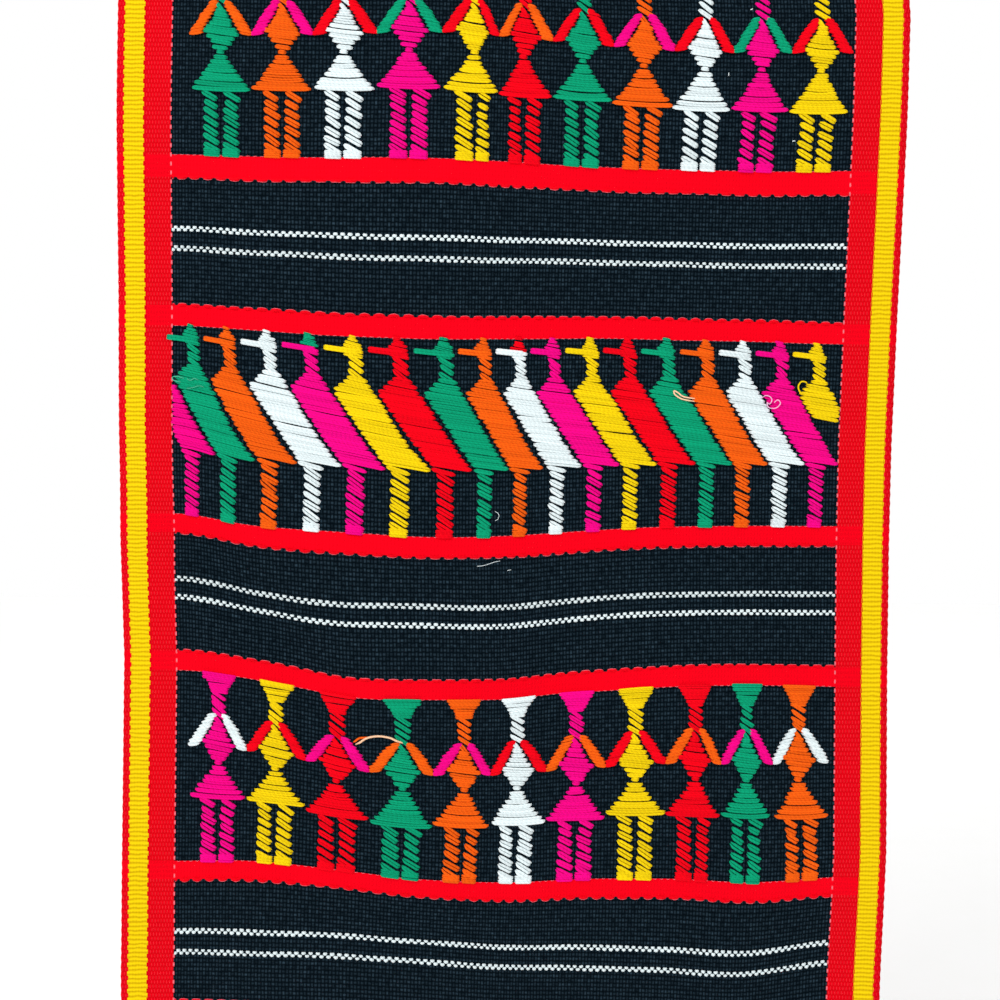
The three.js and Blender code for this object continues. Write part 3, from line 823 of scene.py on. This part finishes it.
def wave_pick(basket, down, first_over, ends_over=1, bulge=0.0, aside=0.0, rim=False):
    """One pick that goes over some ends and under as many, and bulges aside where it is on top."""
    reach = FIELD_WIDTH / 2 - PICK_SHORT
    across = np.arange(-reach, reach, ends_over * PICK_STEP)
    phase = math.pi * (count_ends(across) / ends_over + first_over)
    over = np.cos(phase) if ends_over == 1 else 2 * np.abs(np.cos(phase / 2)) - 1
    slow_wave = lambda length: np.sin(across / length + down)
    wander = basket.chance.normal(0, PICK_JITTER, len(across)) + PICK_WANDER * slow_wave(WANDER_LENGTH)
    height = (RIM_SINKS if rim else PICK_SINKS) + PICK_WAVE * over
    height += basket.chance.normal(0, PICK_JITTER, len(across))
    thick = (RIM_HALF if rim else PICK_HALF) * (1 + PICK_SWELL * slow_wave(SWELL_LENGTH))
    uneven = BULGE_MEAN + BULGE_SWING * slow_wave(BULGE_LENGTH)
    path = np.column_stack([across, down + aside + wander + bulge * uneven * over, height])
    basket.lay(path, thick, thick, int(rim))


print("a pick is", 2 * PICK_HALF, "mm thick")

# %% White picks and lint
# Bits of white lint that cling to the ground: half the thickness, and points of the plan
WHITE_LINT = [
    (0.11, [(-3.6, 222.1), (-2.5, 222.7), (-2.0, 223.7), (-2.5, 224.9), (-3.4, 225.4)]),
    (0.11, [(-9.9, 241.2), (-8.2, 241.1), (-6.4, 240.7), (-3.8, 239.9), (-1.6, 239.5)]),
    (0.11, [(1.0, 243.0), (1.6, 242.9), (2.4, 242.8)]),
    (0.2, [(83.4, 42.9), (84.2, 42.5)]),
    (0.15, [(76.1, 65.5), (76.1, 66.6)]),
    (0.2, [(99.3, 89.5), (100.3, 89.4)]),
]
LINT_HEIGHT = 0.1
white_basket = Basket("white_picks", seed=11)
for line in WHITE_LINES:
    wave_pick(white_basket, line - WHITE_APART / 2, first_over=0)
    wave_pick(white_basket, line + WHITE_APART / 2, first_over=1)
for half, points in WHITE_LINT:
    line = np.array(points)
    white_basket.lay(np.column_stack([line, np.full(len(line), LINT_HEIGHT)]), half, half)
white_picks = white_basket.finish(["white"])
print("white picks:", triangles(white_picks), "triangles")

# %% Edges of the red bands
SCALLOP_BULGE = 0.36


def edge_band(basket, start, stop, above):
    """The scallops of a red band and the painted highlight on their rim, above or below it, and the painted
    highlight on the rim of its other edge.
    """
    side = -1 if above else 1
    scallops, straight = (start, stop) if above else (stop, start)
    line = scallops - side * SCALLOPED_INSET
    scallop = {"first_over": 1, "ends_over": 2, "bulge": side * SCALLOP_BULGE}
    wave_pick(basket, line, **scallop)
    wave_pick(basket, line, **scallop, aside=side * PICK_HALF, rim=True)
    wave_pick(basket, straight, first_over=0, aside=side * STRAIGHT_INSET, rim=True)


red_basket = Basket("red_band_edges", seed=12)
for band, (start, stop) in enumerate(RED_BANDS):
    edge_band(red_basket, start, stop, scalloped_above(band))
red_picks = red_basket.finish(["red", "red_rim_highlight"])
print("edges of the bands:", triangles(red_picks), "triangles")

# %% [markdown]
# ## Floats and stitches
# The figures are made in two ways. Where the figure is broad, pairs of strands float straight across it,
# one pair under another, and each pair ends in one hole, so the sides come out toothed. Necks and legs are
# wrapped: short slanting double stitches, one under the other. Both are pairs of strands, so one function
# lays them.

# %% Lay a pair of strands
STRAND_HALF = 0.48
STRAND_FLAT = 0.85  # height of a strand as a share of its width
PAIR_APART = 0.39  # from the middle of a pair to each strand
TUCK = 1.1  # over this length a strand comes up out of the cloth
TIP = 0.35  # the hidden end of a strand
TIP_WIDTH, TIP_ROUND = 0.03, 0.6  # share of the width at the very tip, and how bluntly it widens
FLOAT_POINTS = (1.7, 1.7)  # over these lengths a pair of floats narrows to its two tips
TUCK_SHARE, POINT_SHARE = 0.4, 0.35  # of a short strand's length, at most
SUNK = -0.35
FLOAT_TOP = 0.55  # height of a strand's middle where it floats
BENDS = np.array([0, 0.12, 0.28, 0.5, 0.75, 1.0])  # where an end of a strand has its rings
FLOAT_STEP = 3  # from ring to ring between the two ends
STRAND_JITTER = 0.05
THICKNESSES = (0.93, 1.07)


def stations_along(length, points):
    """Places along a strand: close together at its ends, where it bends, and wider apart between them."""
    first, last = (min(max(point, TUCK), length * TUCK_SHARE) for point in points)
    steps = max(int((length - first - last) / FLOAT_STEP), 1)
    inner = np.linspace(first, length - last, steps + 1)[1:-1]
    return np.concatenate([BENDS * first, inner, length - (BENDS * last)[::-1]])


def lay_pair(
    basket, start, stop, yarn=0, bow=0.0, top=FLOAT_TOP, half=STRAND_HALF, apart=PAIR_APART,
    points=FLOAT_POINTS,
):
    """Two strands side by side from start to stop (across, down), which come out of the same two holes."""
    start, stop = np.asarray(start, float), np.asarray(stop, float)
    onward = (stop - start) / np.linalg.norm(stop - start)
    start, stop = start - TIP * onward, stop + TIP * onward
    length = np.linalg.norm(stop - start)
    along = stations_along(length, points)
    up = smooth_step(0, min(TUCK, length * TUCK_SHARE), np.minimum(along, length - along))
    first, last = (min(point, length * POINT_SHARE) for point in points)
    pinch = np.clip(np.minimum(along / first, (length - along) / last), TIP_WIDTH, 1) ** TIP_ROUND
    share = along / length
    middle = start + (stop - start) * share[:, None]
    middle[:, 1] += bow * 4 * share * (1 - share)
    aside = np.array([-onward[1], onward[0]])
    for side in (-1, 1):
        shift = side * apart * pinch + basket.chance.normal(0, STRAND_JITTER)
        height = SUNK + (top - SUNK) * up + basket.chance.normal(0, STRAND_JITTER)
        path = np.column_stack([middle + aside * shift[:, None], height])
        thick = half * pinch * basket.chance.uniform(*THICKNESSES)
        basket.lay(path, thick, thick * STRAND_FLAT, yarn)


print("pairs of strands", 2 * STRAND_HALF, "mm thick each")

# %% Rows of floats
ROW_PITCH = 1.66  # from one pair of floats to the next
LEAST_FLOAT = 1.2
FLOAT_POINT_SHARE = 0.28  # of a short row's length, at most
ROW_JITTER, SAG_JITTER = 0.1, 0.12


def float_rows(
    basket, sides, start, stop, slant=0.0, tilt=0.0, outset=0.0, bow=0.0, top=FLOAT_TOP, yarn=0, fine=1.0,
    jitter=0.2, points=FLOAT_POINTS,
):
    """Pairs that float across a figure. sides(down) gives its left and right side there.

    With a slant a row runs downhill from one side of the figure to the other, a tilt turns the row alone,
    and an outset makes it longer. The value of fine is the thickness as a share of the usual one.
    """
    count = max(round((stop - start) / (ROW_PITCH * fine)), 1)
    for down in start + (np.arange(count) + 0.5) * (stop - start) / count:
        left, right = sides(down)
        drop = slant * (right - left) / 2
        left = sides(down - drop)[0] - outset + basket.chance.normal(0, jitter)
        right = sides(down + drop)[1] + outset + basket.chance.normal(0, jitter)
        drop += tilt * (right - left) / 2
        if right - left < LEAST_FLOAT:
            left, right = (left + right - LEAST_FLOAT) / 2, (left + right + LEAST_FLOAT) / 2
        wobble = basket.chance.normal(0, ROW_JITTER, 2)
        narrow = [min(point, FLOAT_POINT_SHARE * (right - left)) for point in points]
        sag = bow + basket.chance.normal(0, SAG_JITTER)
        lay_pair(
            basket, (left, down - drop + wobble[0]), (right, down + drop + wobble[1]), yarn, sag, top,
            STRAND_HALF * fine, PAIR_APART * fine, narrow,
        )


print("a pair of floats every", ROW_PITCH, "mm")

# %% Wrapped stitches
BLUNT_POINTS = (0.9, 0.9)
FOOT_PITCH = 1.45
FOOT_TILT = 0.1
STITCH_POINTS = (1.6, 1.0)  # a stitch is rounder where it ends
STITCH_SAG = 0.3  # it starts steep and ends flatter
STITCH_HALF, STITCH_APART = 0.55, 0.54
STITCH_JITTER = 0.18


def lay_foot(basket, sides, last, inset=0.0):
    """The last two pairs of a leg lie straight along the edge of the band."""
    for down in (last - FOOT_PITCH, last):
        left, right = sides(down)
        lay_pair(
            basket, (left + inset, down - FOOT_TILT), (right - inset, down + FOOT_TILT), points=BLUNT_POINTS
        )


def wrapped_column(
    basket, sides, start, stop, pitch, slope, half=STITCH_HALF, apart=STITCH_APART, inset=0.0
):
    """Slanting double stitches down a neck or a leg. An inset draws them in from its sides."""
    count = max(round((stop - start) / pitch), 1)
    pitch = (stop - start) / count
    for down in start + (np.arange(count) + 0.5) * pitch:
        left, right = sides(down)
        fall = slope * (right - left) / 2
        wobble = basket.chance.normal(0, STITCH_JITTER, 4)
        lay_pair(
            basket, (left + inset + wobble[0], down - fall + wobble[1]),
            (right - inset + wobble[2], down + fall + wobble[3]),
            bow=STITCH_SAG, half=half, apart=apart, points=STITCH_POINTS,
        )


print("wrapped stitches", 2 * STITCH_HALF, "mm thick")

# %% [markdown]
# ## Loose ends
# Where a yarn ran out, the weaver left its end hanging out of the figure, and some of these ends curl. Each
# is a thin strand through a few points of the plan. A smooth line through points needs only the points and
# the slope at each of them, which numpy's gradient gives.

# %% Curl the loose ends
# For a solid: the yarn, half its width, its height over the cloth, and the points that it goes through
LOOSE_ENDS = {
    "person_low_04": [
        ("pale_orange", 0.42, 1.7, [
            (-35.6, 307.1), (-39.8, 305.3), (-42.0, 304.3), (-45.7, 303.8), (-49.0, 304.3), (-51.2, 305.3),
            (-53.0, 306.8), (-54.8, 308.2),
        ]),
        ("orange", 0.42, 1.2, [(-48.7, 304.6), (-51.6, 304.9), (-53.5, 305.4), (-55.6, 307.4)]),
    ],
    "bird_02": [
        ("pale_green", 0.2, 1.5, [
            (-115.9, 182.8), (-118.2, 182.4), (-119.7, 182.0), (-120.1, 181.0), (-119.1, 180.6),
            (-117.4, 180.8), (-114.5, 181.7),
        ]),
        ("pale_green", 0.15, 1.5, [(-115.4, 180.9), (-113.7, 181.8), (-112.2, 181.0), (-110.4, 181.6)]),
        ("pale_green", 0.15, 1.5, [(-115.9, 184.9), (-112.9, 184.4), (-110.6, 183.5), (-108.3, 183.9)]),
    ],
    "bird_15": [
        ("pale_orange", 0.3, 1.6, [
            (69.9, 183.6), (66.3, 183.3), (63.4, 182.7), (61.5, 181.3), (60.2, 180.7), (60.5, 182.0),
            (62.7, 183.5), (65.6, 184.2), (69.9, 184.7),
        ]),
    ],
    "bird_16": [
        ("pale_pink", 0.2, 1.7, [
            (90.8, 184.4), (92.8, 182.1), (94.6, 182.3), (95.4, 183.6), (94.6, 185.1), (93.7, 184.5),
            (94.4, 186.4), (97.0, 186.5), (98.5, 184.8), (97.6, 183.5), (96.4, 184.5), (97.3, 185.8),
        ]),
    ],
    "bird_18": [
        ("yellow", 0.3, 1.2, [
            (108.6, 177.5), (107.2, 176.5), (105.7, 176.6), (104.8, 178.4), (105.5, 180.3), (106.4, 180.9),
            (108.0, 180.5),
        ]),
    ],
}
LINE_STEPS = 5  # between two points
END_SINKS = 0.15  # over this share of its length a loose end comes up out of the cloth
END_WIDTH = 0.6  # share of the thickness at its tips
FIRST_LOOSE_YARN = 2  # after the two yarns of the figure itself


def smooth_line(points):
    """A line that passes through all the points and bends softly between them."""
    points = np.asarray(points, float)
    slopes = np.gradient(points, axis=0)
    t = np.linspace(0, 1, LINE_STEPS, endpoint=False)[:, None]
    parts = [
        start + (stop - start) * t * t * (3 - 2 * t) + t * (1 - t) * ((1 - t) * leaves - t * comes)
        for start, stop, leaves, comes in zip(points[:-1], points[1:], slopes[:-1], slopes[1:])
    ]
    return np.concatenate(parts + [points[-1:]])


def lay_loose_ends(basket, loose_ends):
    """Lays the loose ends into a figure's basket, and gives back the dyes that they add to it."""
    for number, (_, half, height, points) in enumerate(loose_ends):
        line = smooth_line(points)
        share = np.linspace(0, 1, len(line))
        up = smooth_step(0, END_SINKS, np.minimum(share, 1 - share))
        thick = half * (END_WIDTH + (1 - END_WIDTH) * up)
        basket.lay(np.column_stack([line, height * up]), thick, thick, FIRST_LOOSE_YARN + number)
    return [dye for dye, *_ in loose_ends]


print("loose ends on", ", ".join(LOOSE_ENDS))

# %% [markdown]
# ## The people
# Two rows of small people hold hands. They share one chart: how far down the row each part lies, and how
# wide it is, as a share of the room up to the neighbours. It is the chart of the frame's solids with more
# points, so each figure lies where its solid is. The body has one yarn, and the arms a second one.

# %% The people's charts
ROW_MARGIN = 0.6
HALF_PITCH = 10.65  # room beside the first and the last person of a row
TOP_PEOPLE = (28.6, 71.5)  # distance down to the row, and its depth
LOW_PEOPLE = (289.7, 69.0)
# Share of the depth, half the width, and how far the part drops with the chest, sinks with the skirt and
# follows the feet
PERSON_CHART = [
    (0.0, 0.6, 0, 0, 0), (0.03, 0.46, 0, 0, 0), (0.06, 0.34, 0, 0, 0), (0.095, 0.26, 0, 0, 0),
    (0.225, 0.27, 0.6, 0, 0), (0.25, 0.1, 0.7, 0, 0), (0.29, 0.22, 1, 0, 0), (0.35, 0.42, 1, 0, 0),
    (0.385, 0.6, 1, 0, 0), (0.43, 0.38, 0.8, 0.1, 0), (0.485, 0.16, 0.5, 0.3, 0), (0.515, 0.26, 0.3, 0.5, 0),
    (0.56, 0.45, 0, 0.7, 0.2), (0.62, 0.71, 0, 0.9, 0.4), (0.668, 0.98, 0, 1, 0.4), (0.69, 0.66, 0, 1, 0.5),
    (0.73, 0.55, 0, 0.9, 0.6), (0.84, 0.57, 0, 0.5, 0.8), (1.0, 0.59, 0, 0, 1),
]
# Share of the depth, and the inner and the outer side of an arm
ARM_CHART = [
    (0.23, 0.06, 0.36), (0.25, 0.09, 0.47), (0.29, 0.22, 0.67), (0.34, 0.41, 0.85), (0.366, 0.5, 0.97),
    (0.39, 0.58, 1.05), (0.405, 0.66, 1.06),
]
# Yarn of the body and of the arms, place across, lower chest, lower skirt, feet further to the right
TOP_ROW = [
    ("green", "orange", -103.4, 0, 0.2, 0.7), ("orange", "pink", -81.6, -0.7, -0.3, 0.5),
    ("white", "red", -59.9, -1.1, -0.7, 0.2), ("pink", "green", -36.8, -2.2, -1.8, 0.5),
    ("yellow", "red", -13.7, -2.2, -1.2, 0.7), ("red", "orange", 3.5, -1.4, -0.2, 0.6),
    ("green", "red", 24.5, -0.7, 0, 0.2), ("orange", "pink", 46.1, 0.4, 1.2, -0.4),
    ("white", "red", 67.7, 1.1, 2.1, -1.3), ("pink", "green", 87.7, 0.7, 2.1, -1.4),
    ("yellow", "red", 108.7, 1.1, 2.8, -1.6),
]
LOW_ROW = [
    ("pink", "white", -104.9, -1.4, -1.2, 0), ("yellow", "red", -84.3, -1.1, -0.7, -0.1),
    ("red", "pink", -61.8, 0, 1.1, 0.2), ("green", "orange", -37.4, 0.7, 2.5, -0.3),
    ("orange", "pink", -14.8, 0.4, 1.5, -1.0), ("white", "red", 4.4, 0, 0.8, -0.7),
    ("pink", "orange", 26.1, 0, 0.2, -0.6), ("yellow", "red", 47.6, -0.7, -1.1, 0),
    ("red", "orange", 69.6, -1.1, -0.5, -0.5), ("green", "pink", 88.2, -0.7, -0.7, 0),
    ("orange", "white", 107.2, -1.1, -0.1, 1.6),
]
print("people:", len(TOP_ROW), "above and", len(LOW_ROW), "below")

# %% Legs and arms
LEG_STITCHES = {"pitch": 3.1, "slope": 0.6}
LEG_GAPS = (2.4, 1.4)  # between the legs, under the skirt and over the feet
LEG_TUCK, LEG_SHORT = 0.2, 0.6  # a leg starts under the skirt, and stops over the last pair of its foot
FOOT_GAP, FOOT_STEP = 0.7, 0.1  # between the feet, and over which length the gap narrows to that
FOOT_OVERLAP = 0.4  # how far a foot goes over the edge of the red band
ARM_PITCH = 1.35
ARM_STARTS = 0.007  # the first pair lies this share of the depth under the shoulder
ARM_TILT, ARM_JITTER, ARM_TOP = 0.4, 0.15, 0.8


def lay_legs(basket, sides, middle, hem, sole):
    """Two wrapped legs with a narrowing gap between them, each on a foot of its own."""
    foot_top = sole - FOOT_PITCH
    gap = lambda down: np.interp(down, (hem, foot_top - FOOT_STEP, foot_top), (*LEG_GAPS, FOOT_GAP)) / 2
    left_leg = lambda down: (sides(down)[0], middle(down) - gap(down))
    right_leg = lambda down: (middle(down) + gap(down), sides(down)[1])
    for leg in (left_leg, right_leg):
        wrapped_column(basket, leg, hem - LEG_TUCK, sole - LEG_SHORT, **LEG_STITCHES)
        lay_foot(basket, leg, sole + FOOT_OVERLAP)


def lay_arms(basket, across, chest, start, depth, beside):
    """Rows of floats from each shoulder down to the hand, which meets the neighbour's half way."""
    shares, inner, outer = np.array(ARM_CHART).T
    for side, (room, hands) in zip((-1, 1), beside):
        for share in np.arange(shares[0] + ARM_STARTS, shares[-1], ARM_PITCH / depth):
            down = start + depth * share + np.interp(share, shares[[0, -1]], (chest, hands))
            reach = side * room * np.array([np.interp(share, shares, edge) for edge in (inner, outer)])
            ends = across + reach + basket.chance.normal(0, ARM_JITTER, 2)
            lay_pair(basket, (ends[0], down - ARM_TILT), (ends[1], down + ARM_TILT), yarn=1, top=ARM_TOP)


print("legs", LEG_GAPS, "mm apart, feet", FOOT_GAP, "mm apart, arms with a pair every", ARM_PITCH, "mm")

# %% Lay in a person
HEAD_OVERLAP = 1.2  # how far a head goes over the edge of the red band
# Where the parts start and stop, as shares of the depth
HEAD_STOPS = 0.095
NECK = (0.085, 0.235)
COLLAR = (0.232, 0.285)
CHEST = [(0.265, 0.397), (0.397, 0.472)]  # parted so that one row is the widest
WAIST = 0.485
SKIRT = (0.497, 0.68)  # the last row is the widest
HEM = 0.683
# How the parts are laid in
HEAD_FLOATS = {"fine": 0.8, "jitter": 0.15, "points": BLUNT_POINTS}
NECK_STITCHES = {"pitch": 2.5, "slope": 0.65, "half": 0.45, "apart": 0.38, "inset": 0.25}
CHEST_FLOATS = {"tilt": 0.12, "bow": 0.2, "top": 0.65, "points": (1.3, 1.3)}
WAIST_FLOAT = {"top": 0.65, "points": BLUNT_POINTS}
SKIRT_FLOATS = {"tilt": 0.02, "bow": 0.45, "top": 0.75}
COLLAR_REACH = (0.17, 0.1)  # to the left and to the right, as shares of the room there
WAIST_HALF, WAIST_TILT = 1.35, 0.15


def lay_person(node, row, person, beside, seed):
    body, sleeve, across, chest, skirt, feet = person
    (left_room, _), (right_room, _) = beside
    start, depth = row[0] + ROW_MARGIN, row[1] - 2 * ROW_MARGIN
    chart = np.array(PERSON_CHART)
    downs = start + depth * chart[:, 0] + chart[:, 2] * chest + chart[:, 3] * skirt
    middles = across + chart[:, 4] * feet
    lefts, rights = middles - chart[:, 1] * left_room, middles + chart[:, 1] * right_room
    sides = lambda down: (np.interp(down, downs, lefts), np.interp(down, downs, rights))
    middle = lambda down: np.interp(down, downs, middles)
    at = lambda share: np.interp(share, chart[:, 0], downs)
    basket = Basket(f"laid_{node}", seed)
    float_rows(basket, sides, at(0) - HEAD_OVERLAP, at(HEAD_STOPS), **HEAD_FLOATS)
    wrapped_column(basket, sides, *map(at, NECK), **NECK_STITCHES)
    collar = across - COLLAR_REACH[0] * left_room, across + COLLAR_REACH[1] * right_room
    lay_pair(basket, *zip(collar, map(at, COLLAR)))
    for rows in CHEST:
        float_rows(basket, sides, *map(at, rows), **CHEST_FLOATS)
    waist = at(WAIST)
    lay_pair(
        basket, (middle(waist) - WAIST_HALF, waist - WAIST_TILT),
        (middle(waist) + WAIST_HALF, waist + WAIST_TILT), **WAIST_FLOAT,
    )
    float_rows(basket, sides, *map(at, SKIRT), **SKIRT_FLOATS)
    lay_legs(basket, sides, middle, at(HEM), at(1))
    lay_arms(basket, across, chest, start, depth, beside)
    return basket.finish([body, sleeve] + lay_loose_ends(basket, LOOSE_ENDS.get(node, [])))


print("a chest has", len(CHEST), "parts, and a waist is", 2 * WAIST_HALF, "mm wide")

# %% Lay in the people


def beside_person(people, index, other):
    """The room up to the middle between two people, and how far down from the chart their hands meet."""
    across, chest = people[index][2:4]
    if not 0 <= other < len(people):
        return HALF_PITCH, chest
    return abs(people[other][2] - across) / 2, (people[other][3] + chest) / 2


def lay_row_of_people(name, row, people, seed):
    pieces = []
    for index, person in enumerate(people):
        beside = [beside_person(people, index, other) for other in (index - 1, index + 1)]
        node = f"{name}_{index + 1:02d}"
        piece = lay_person(node, row, person, beside, seed + index)
        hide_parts(node)
        pieces.append(piece)
    return pieces


top_people = lay_row_of_people("person_top", TOP_PEOPLE, TOP_ROW, seed=100)
low_people = lay_row_of_people("person_low", LOW_PEOPLE, LOW_ROW, seed=200)
print("people:", sum(map(triangles, top_people + low_people)), "triangles")

# %% [markdown]
# ## The birds
# The birds stand close, and each body slants so far that its leg comes under the next bird's head. So
# their chart counts across in birds: 0 is this bird's head and 1 the next one's. The floats of the body run
# a little downhill, and the borders cut off the first and the last bird.

# %% The birds' chart
BIRDS = (162.2, 68.6)  # distance down to the row, and its depth
# Share of the depth, the left and right side counted in birds, and how far the part follows the feet
BIRD_CHART = [
    (0.0, -0.16, 0.03, 0), (0.044, -0.32, 0.17, 0), (0.09, -0.17, 0.19, 0), (0.2, -0.15, 0.21, 0),
    (0.27, -0.49, 0.41, 0.25), (0.35, -0.25, 0.64, 0.6), (0.42, -0.04, 0.83, 0.9), (0.55, 0.37, 1.22, 1),
    (0.67, 0.77, 1.66, 1), (0.685, 0.79, 1.23, 1), (0.84, 0.77, 1.22, 1), (1.0, 0.75, 1.2, 1),
]
BEAK = (0.058, -0.7, 0.1)  # share of the depth, and its tip and the nape counted in birds
# Yarn, place of the head, and how far to the right the bird stands
BIRD_ROW = [
    ("pink", -126.4, -0.5), ("green", -113.0, -0.4), ("orange", -100.2, 0), ("white", -85.5, 0.6),
    ("pink", -70.6, 0.5), ("yellow", -54.7, 0.3), ("red", -38.5, 0.5), ("green", -21.8, 0.6),
    ("orange", -7.8, 0.7), ("white", 4.8, 1.7), ("pink", 16.9, 1.8), ("yellow", 30.4, 1.3),
    ("red", 44.0, 1.2), ("green", 57.8, 0.9), ("orange", 72.0, 0.7), ("white", 85.2, 0.7),
    ("pink", 98.6, 0.5), ("yellow", 112.0, 0),
]
ODD_CRESTS = {4: "green", 9: "red"}  # two birds got a crest from another yarn
print("birds:", len(BIRD_ROW))

# %% The birds' heads
HEADS = np.array([across for _, across, _ in BIRD_ROW])
# Where the parts of a head start and stop, as shares of the depth
CREST_STOPS, CHEEK_STOPS = 0.05, 0.092
BIRD_NECK = (0.09, 0.2)
# How they are laid in
CREST_FLOATS = {"yarn": 1, "fine": 0.65, "slant": 0.2, "points": BLUNT_POINTS}
BEAK_STRANDS = {"half": 0.6, "apart": 0.45, "points": BLUNT_POINTS}
CHEEK_FLOATS = {"fine": 0.8, "slant": 0.2, "points": BLUNT_POINTS}
BIRD_NECK_STITCHES = {"pitch": 2.9, "slope": 0.65, "half": 0.5, "apart": 0.46, "inset": 0.2}
BEAK_RISE, NAPE_DROP = 0.5, 0.6


def across_in_birds(count):
    first = int(np.clip(math.floor(count), 0, len(HEADS) - 2))
    return HEADS[first] + (HEADS[first + 1] - HEADS[first]) * (count - first)


def lay_bird_head(basket, index, sides, at):
    """The crest, the beak, which is one pair across the head, the cheek under it, and the wrapped neck."""
    float_rows(basket, sides, at(0) - HEAD_OVERLAP, at(CREST_STOPS), **CREST_FLOATS)
    down, left, right = BEAK
    tip = (across_in_birds(index + left), at(down) - BEAK_RISE)
    nape = (across_in_birds(index + right), at(down) + NAPE_DROP)
    lay_pair(basket, tip, nape, **BEAK_STRANDS)
    float_rows(basket, sides, at(CREST_STOPS), at(CHEEK_STOPS), **CHEEK_FLOATS)
    wrapped_column(basket, sides, *map(at, BIRD_NECK), **BIRD_NECK_STITCHES)


print("heads are", round(float(np.diff(HEADS).mean()), 1), "mm apart on the whole")

# %% Lay in the birds
BIRDS_STOP = FIELD_WIDTH / 2 - 0.3  # just short of the borders
# Where the parts start and stop, as shares of the depth
BODY = (0.195, 0.685)
FIRST_BIRD_STARTS, LAST_BIRD_ENDS = 0.31, 0.42
# How the parts are laid in
BODY_FLOATS = {"slant": 0.17, "outset": 0.35, "top": 0.75}
BIRD_LEG_STITCHES = {"pitch": 3.1, "slope": 0.52, "inset": 0.45}
BIRD_FOOT_INSET = 0.4


def lay_bird(index, seed):
    dye, _, feet = BIRD_ROW[index]
    start, depth = BIRDS[0] + ROW_MARGIN, BIRDS[1] - 2 * ROW_MARGIN
    chart = np.array(BIRD_CHART)
    downs = start + depth * chart[:, 0]
    lefts = [max(across_in_birds(index + left) + feet * share, -BIRDS_STOP) for _, left, _, share in chart]
    rights = [min(across_in_birds(index + right) + feet * share, BIRDS_STOP) for _, _, right, share in chart]
    sides = lambda down: (np.interp(down, downs, lefts), np.interp(down, downs, rights))
    at = lambda share: start + depth * share
    first, last = index == 0, index == len(BIRD_ROW) - 1
    node = f"bird_{index + 1:02d}"
    basket = Basket(f"laid_{node}", seed)
    if not first:
        lay_bird_head(basket, index, sides, at)
    body_start = at(FIRST_BIRD_STARTS if first else BODY[0])
    body_end = at(LAST_BIRD_ENDS if last else BODY[1])
    float_rows(basket, sides, body_start, body_end, **BODY_FLOATS)
    if not last:
        wrapped_column(basket, sides, at(BODY[1]), at(1) - LEG_SHORT, **BIRD_LEG_STITCHES)
        lay_foot(basket, sides, at(1) + FOOT_OVERLAP, BIRD_FOOT_INSET)
    loose = lay_loose_ends(basket, LOOSE_ENDS.get(node, []))
    return basket.finish([dye, ODD_CRESTS.get(index, dye)] + loose)


birds = []
for index, (dye, _, _) in enumerate(BIRD_ROW):
    bird = lay_bird(index, seed=300 + index)
    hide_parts(f"bird_{index + 1:02d}")
    birds.append(bird)
print("birds:", sum(map(triangles, birds)), "triangles")

# %% [markdown]
# ## The hems
# The hems are turned back once at the top and at the bottom, so the flat length is the hung length
# and two hem depths.

# %% [markdown]
# ## Room and light
# Cloth is shown best in soft, even light, so the world itself is white and lights it from all
# sides. One broad lamp from the upper left draws out the relief of the strands. The Standard view keeps
# the dyes as bright as they are.

# %% Floor
FLOOR_DOWN = 520 * MM
FLOOR_REACH = 2.0
FLOOR_TONES = dyed(252, 252, 251), dyed(254, 254, 254)
FLOOR_GRAIN, FLOOR_DETAIL, FLOOR_ROUGHNESS = 40.0, 3.0, 0.8


def pale_floor():
    material, tree = new_material("pale_floor")
    spot = add_node(tree, "ShaderNodeTexCoord").outputs["Object"]
    tone = blend(tree, noise(tree, spot, FLOOR_GRAIN, FLOOR_DETAIL), *FLOOR_TONES)
    inputs = {"Base Color": tone, "Roughness": FLOOR_ROUGHNESS}
    shader = add_node(tree, "ShaderNodeBsdfPrincipled", inputs)
    add_node(tree, "ShaderNodeOutputMaterial", {"Surface": shader.outputs[0]})
    mesh = bpy.data.meshes.new("floor")
    corners = [(-1, -1), (1, -1), (1, 1), (-1, 1)]
    mesh.from_pydata([(x * FLOOR_REACH, y * FLOOR_REACH, 0) for x, y in corners], [], [(0, 1, 2, 3)])
    mesh.materials.append(material)
    floor = put_in_scene("floor", mesh)
    floor.location.z = -FLOOR_DOWN


pale_floor()
print("floor", FLOOR_DOWN, "m under the top edge")

# %% Lamp and world


def soft_lamp(name, place, size, watts):
    lamp = bpy.data.lights.new(name, "AREA")
    lamp.size = size
    lamp.energy = watts
    holder = put_in_scene(name, lamp)
    holder.location = place
    holder.rotation_euler = (AIM - Vector(place)).to_track_quat("-Z", "Y").to_euler()


soft_lamp("window", place=(-0.9, -1.1, 0.7), size=0.6, watts=9)
world = bpy.data.worlds.new("white_room")
world.use_nodes = True
world.node_tree.nodes["Background"].inputs["Color"].default_value = (1, 1, 1, 1)
world.node_tree.nodes["Background"].inputs["Strength"].default_value = 1.0
bpy.context.scene.world = world
bpy.context.scene.view_settings.view_transform = "Standard"
print("one lamp and a white world")
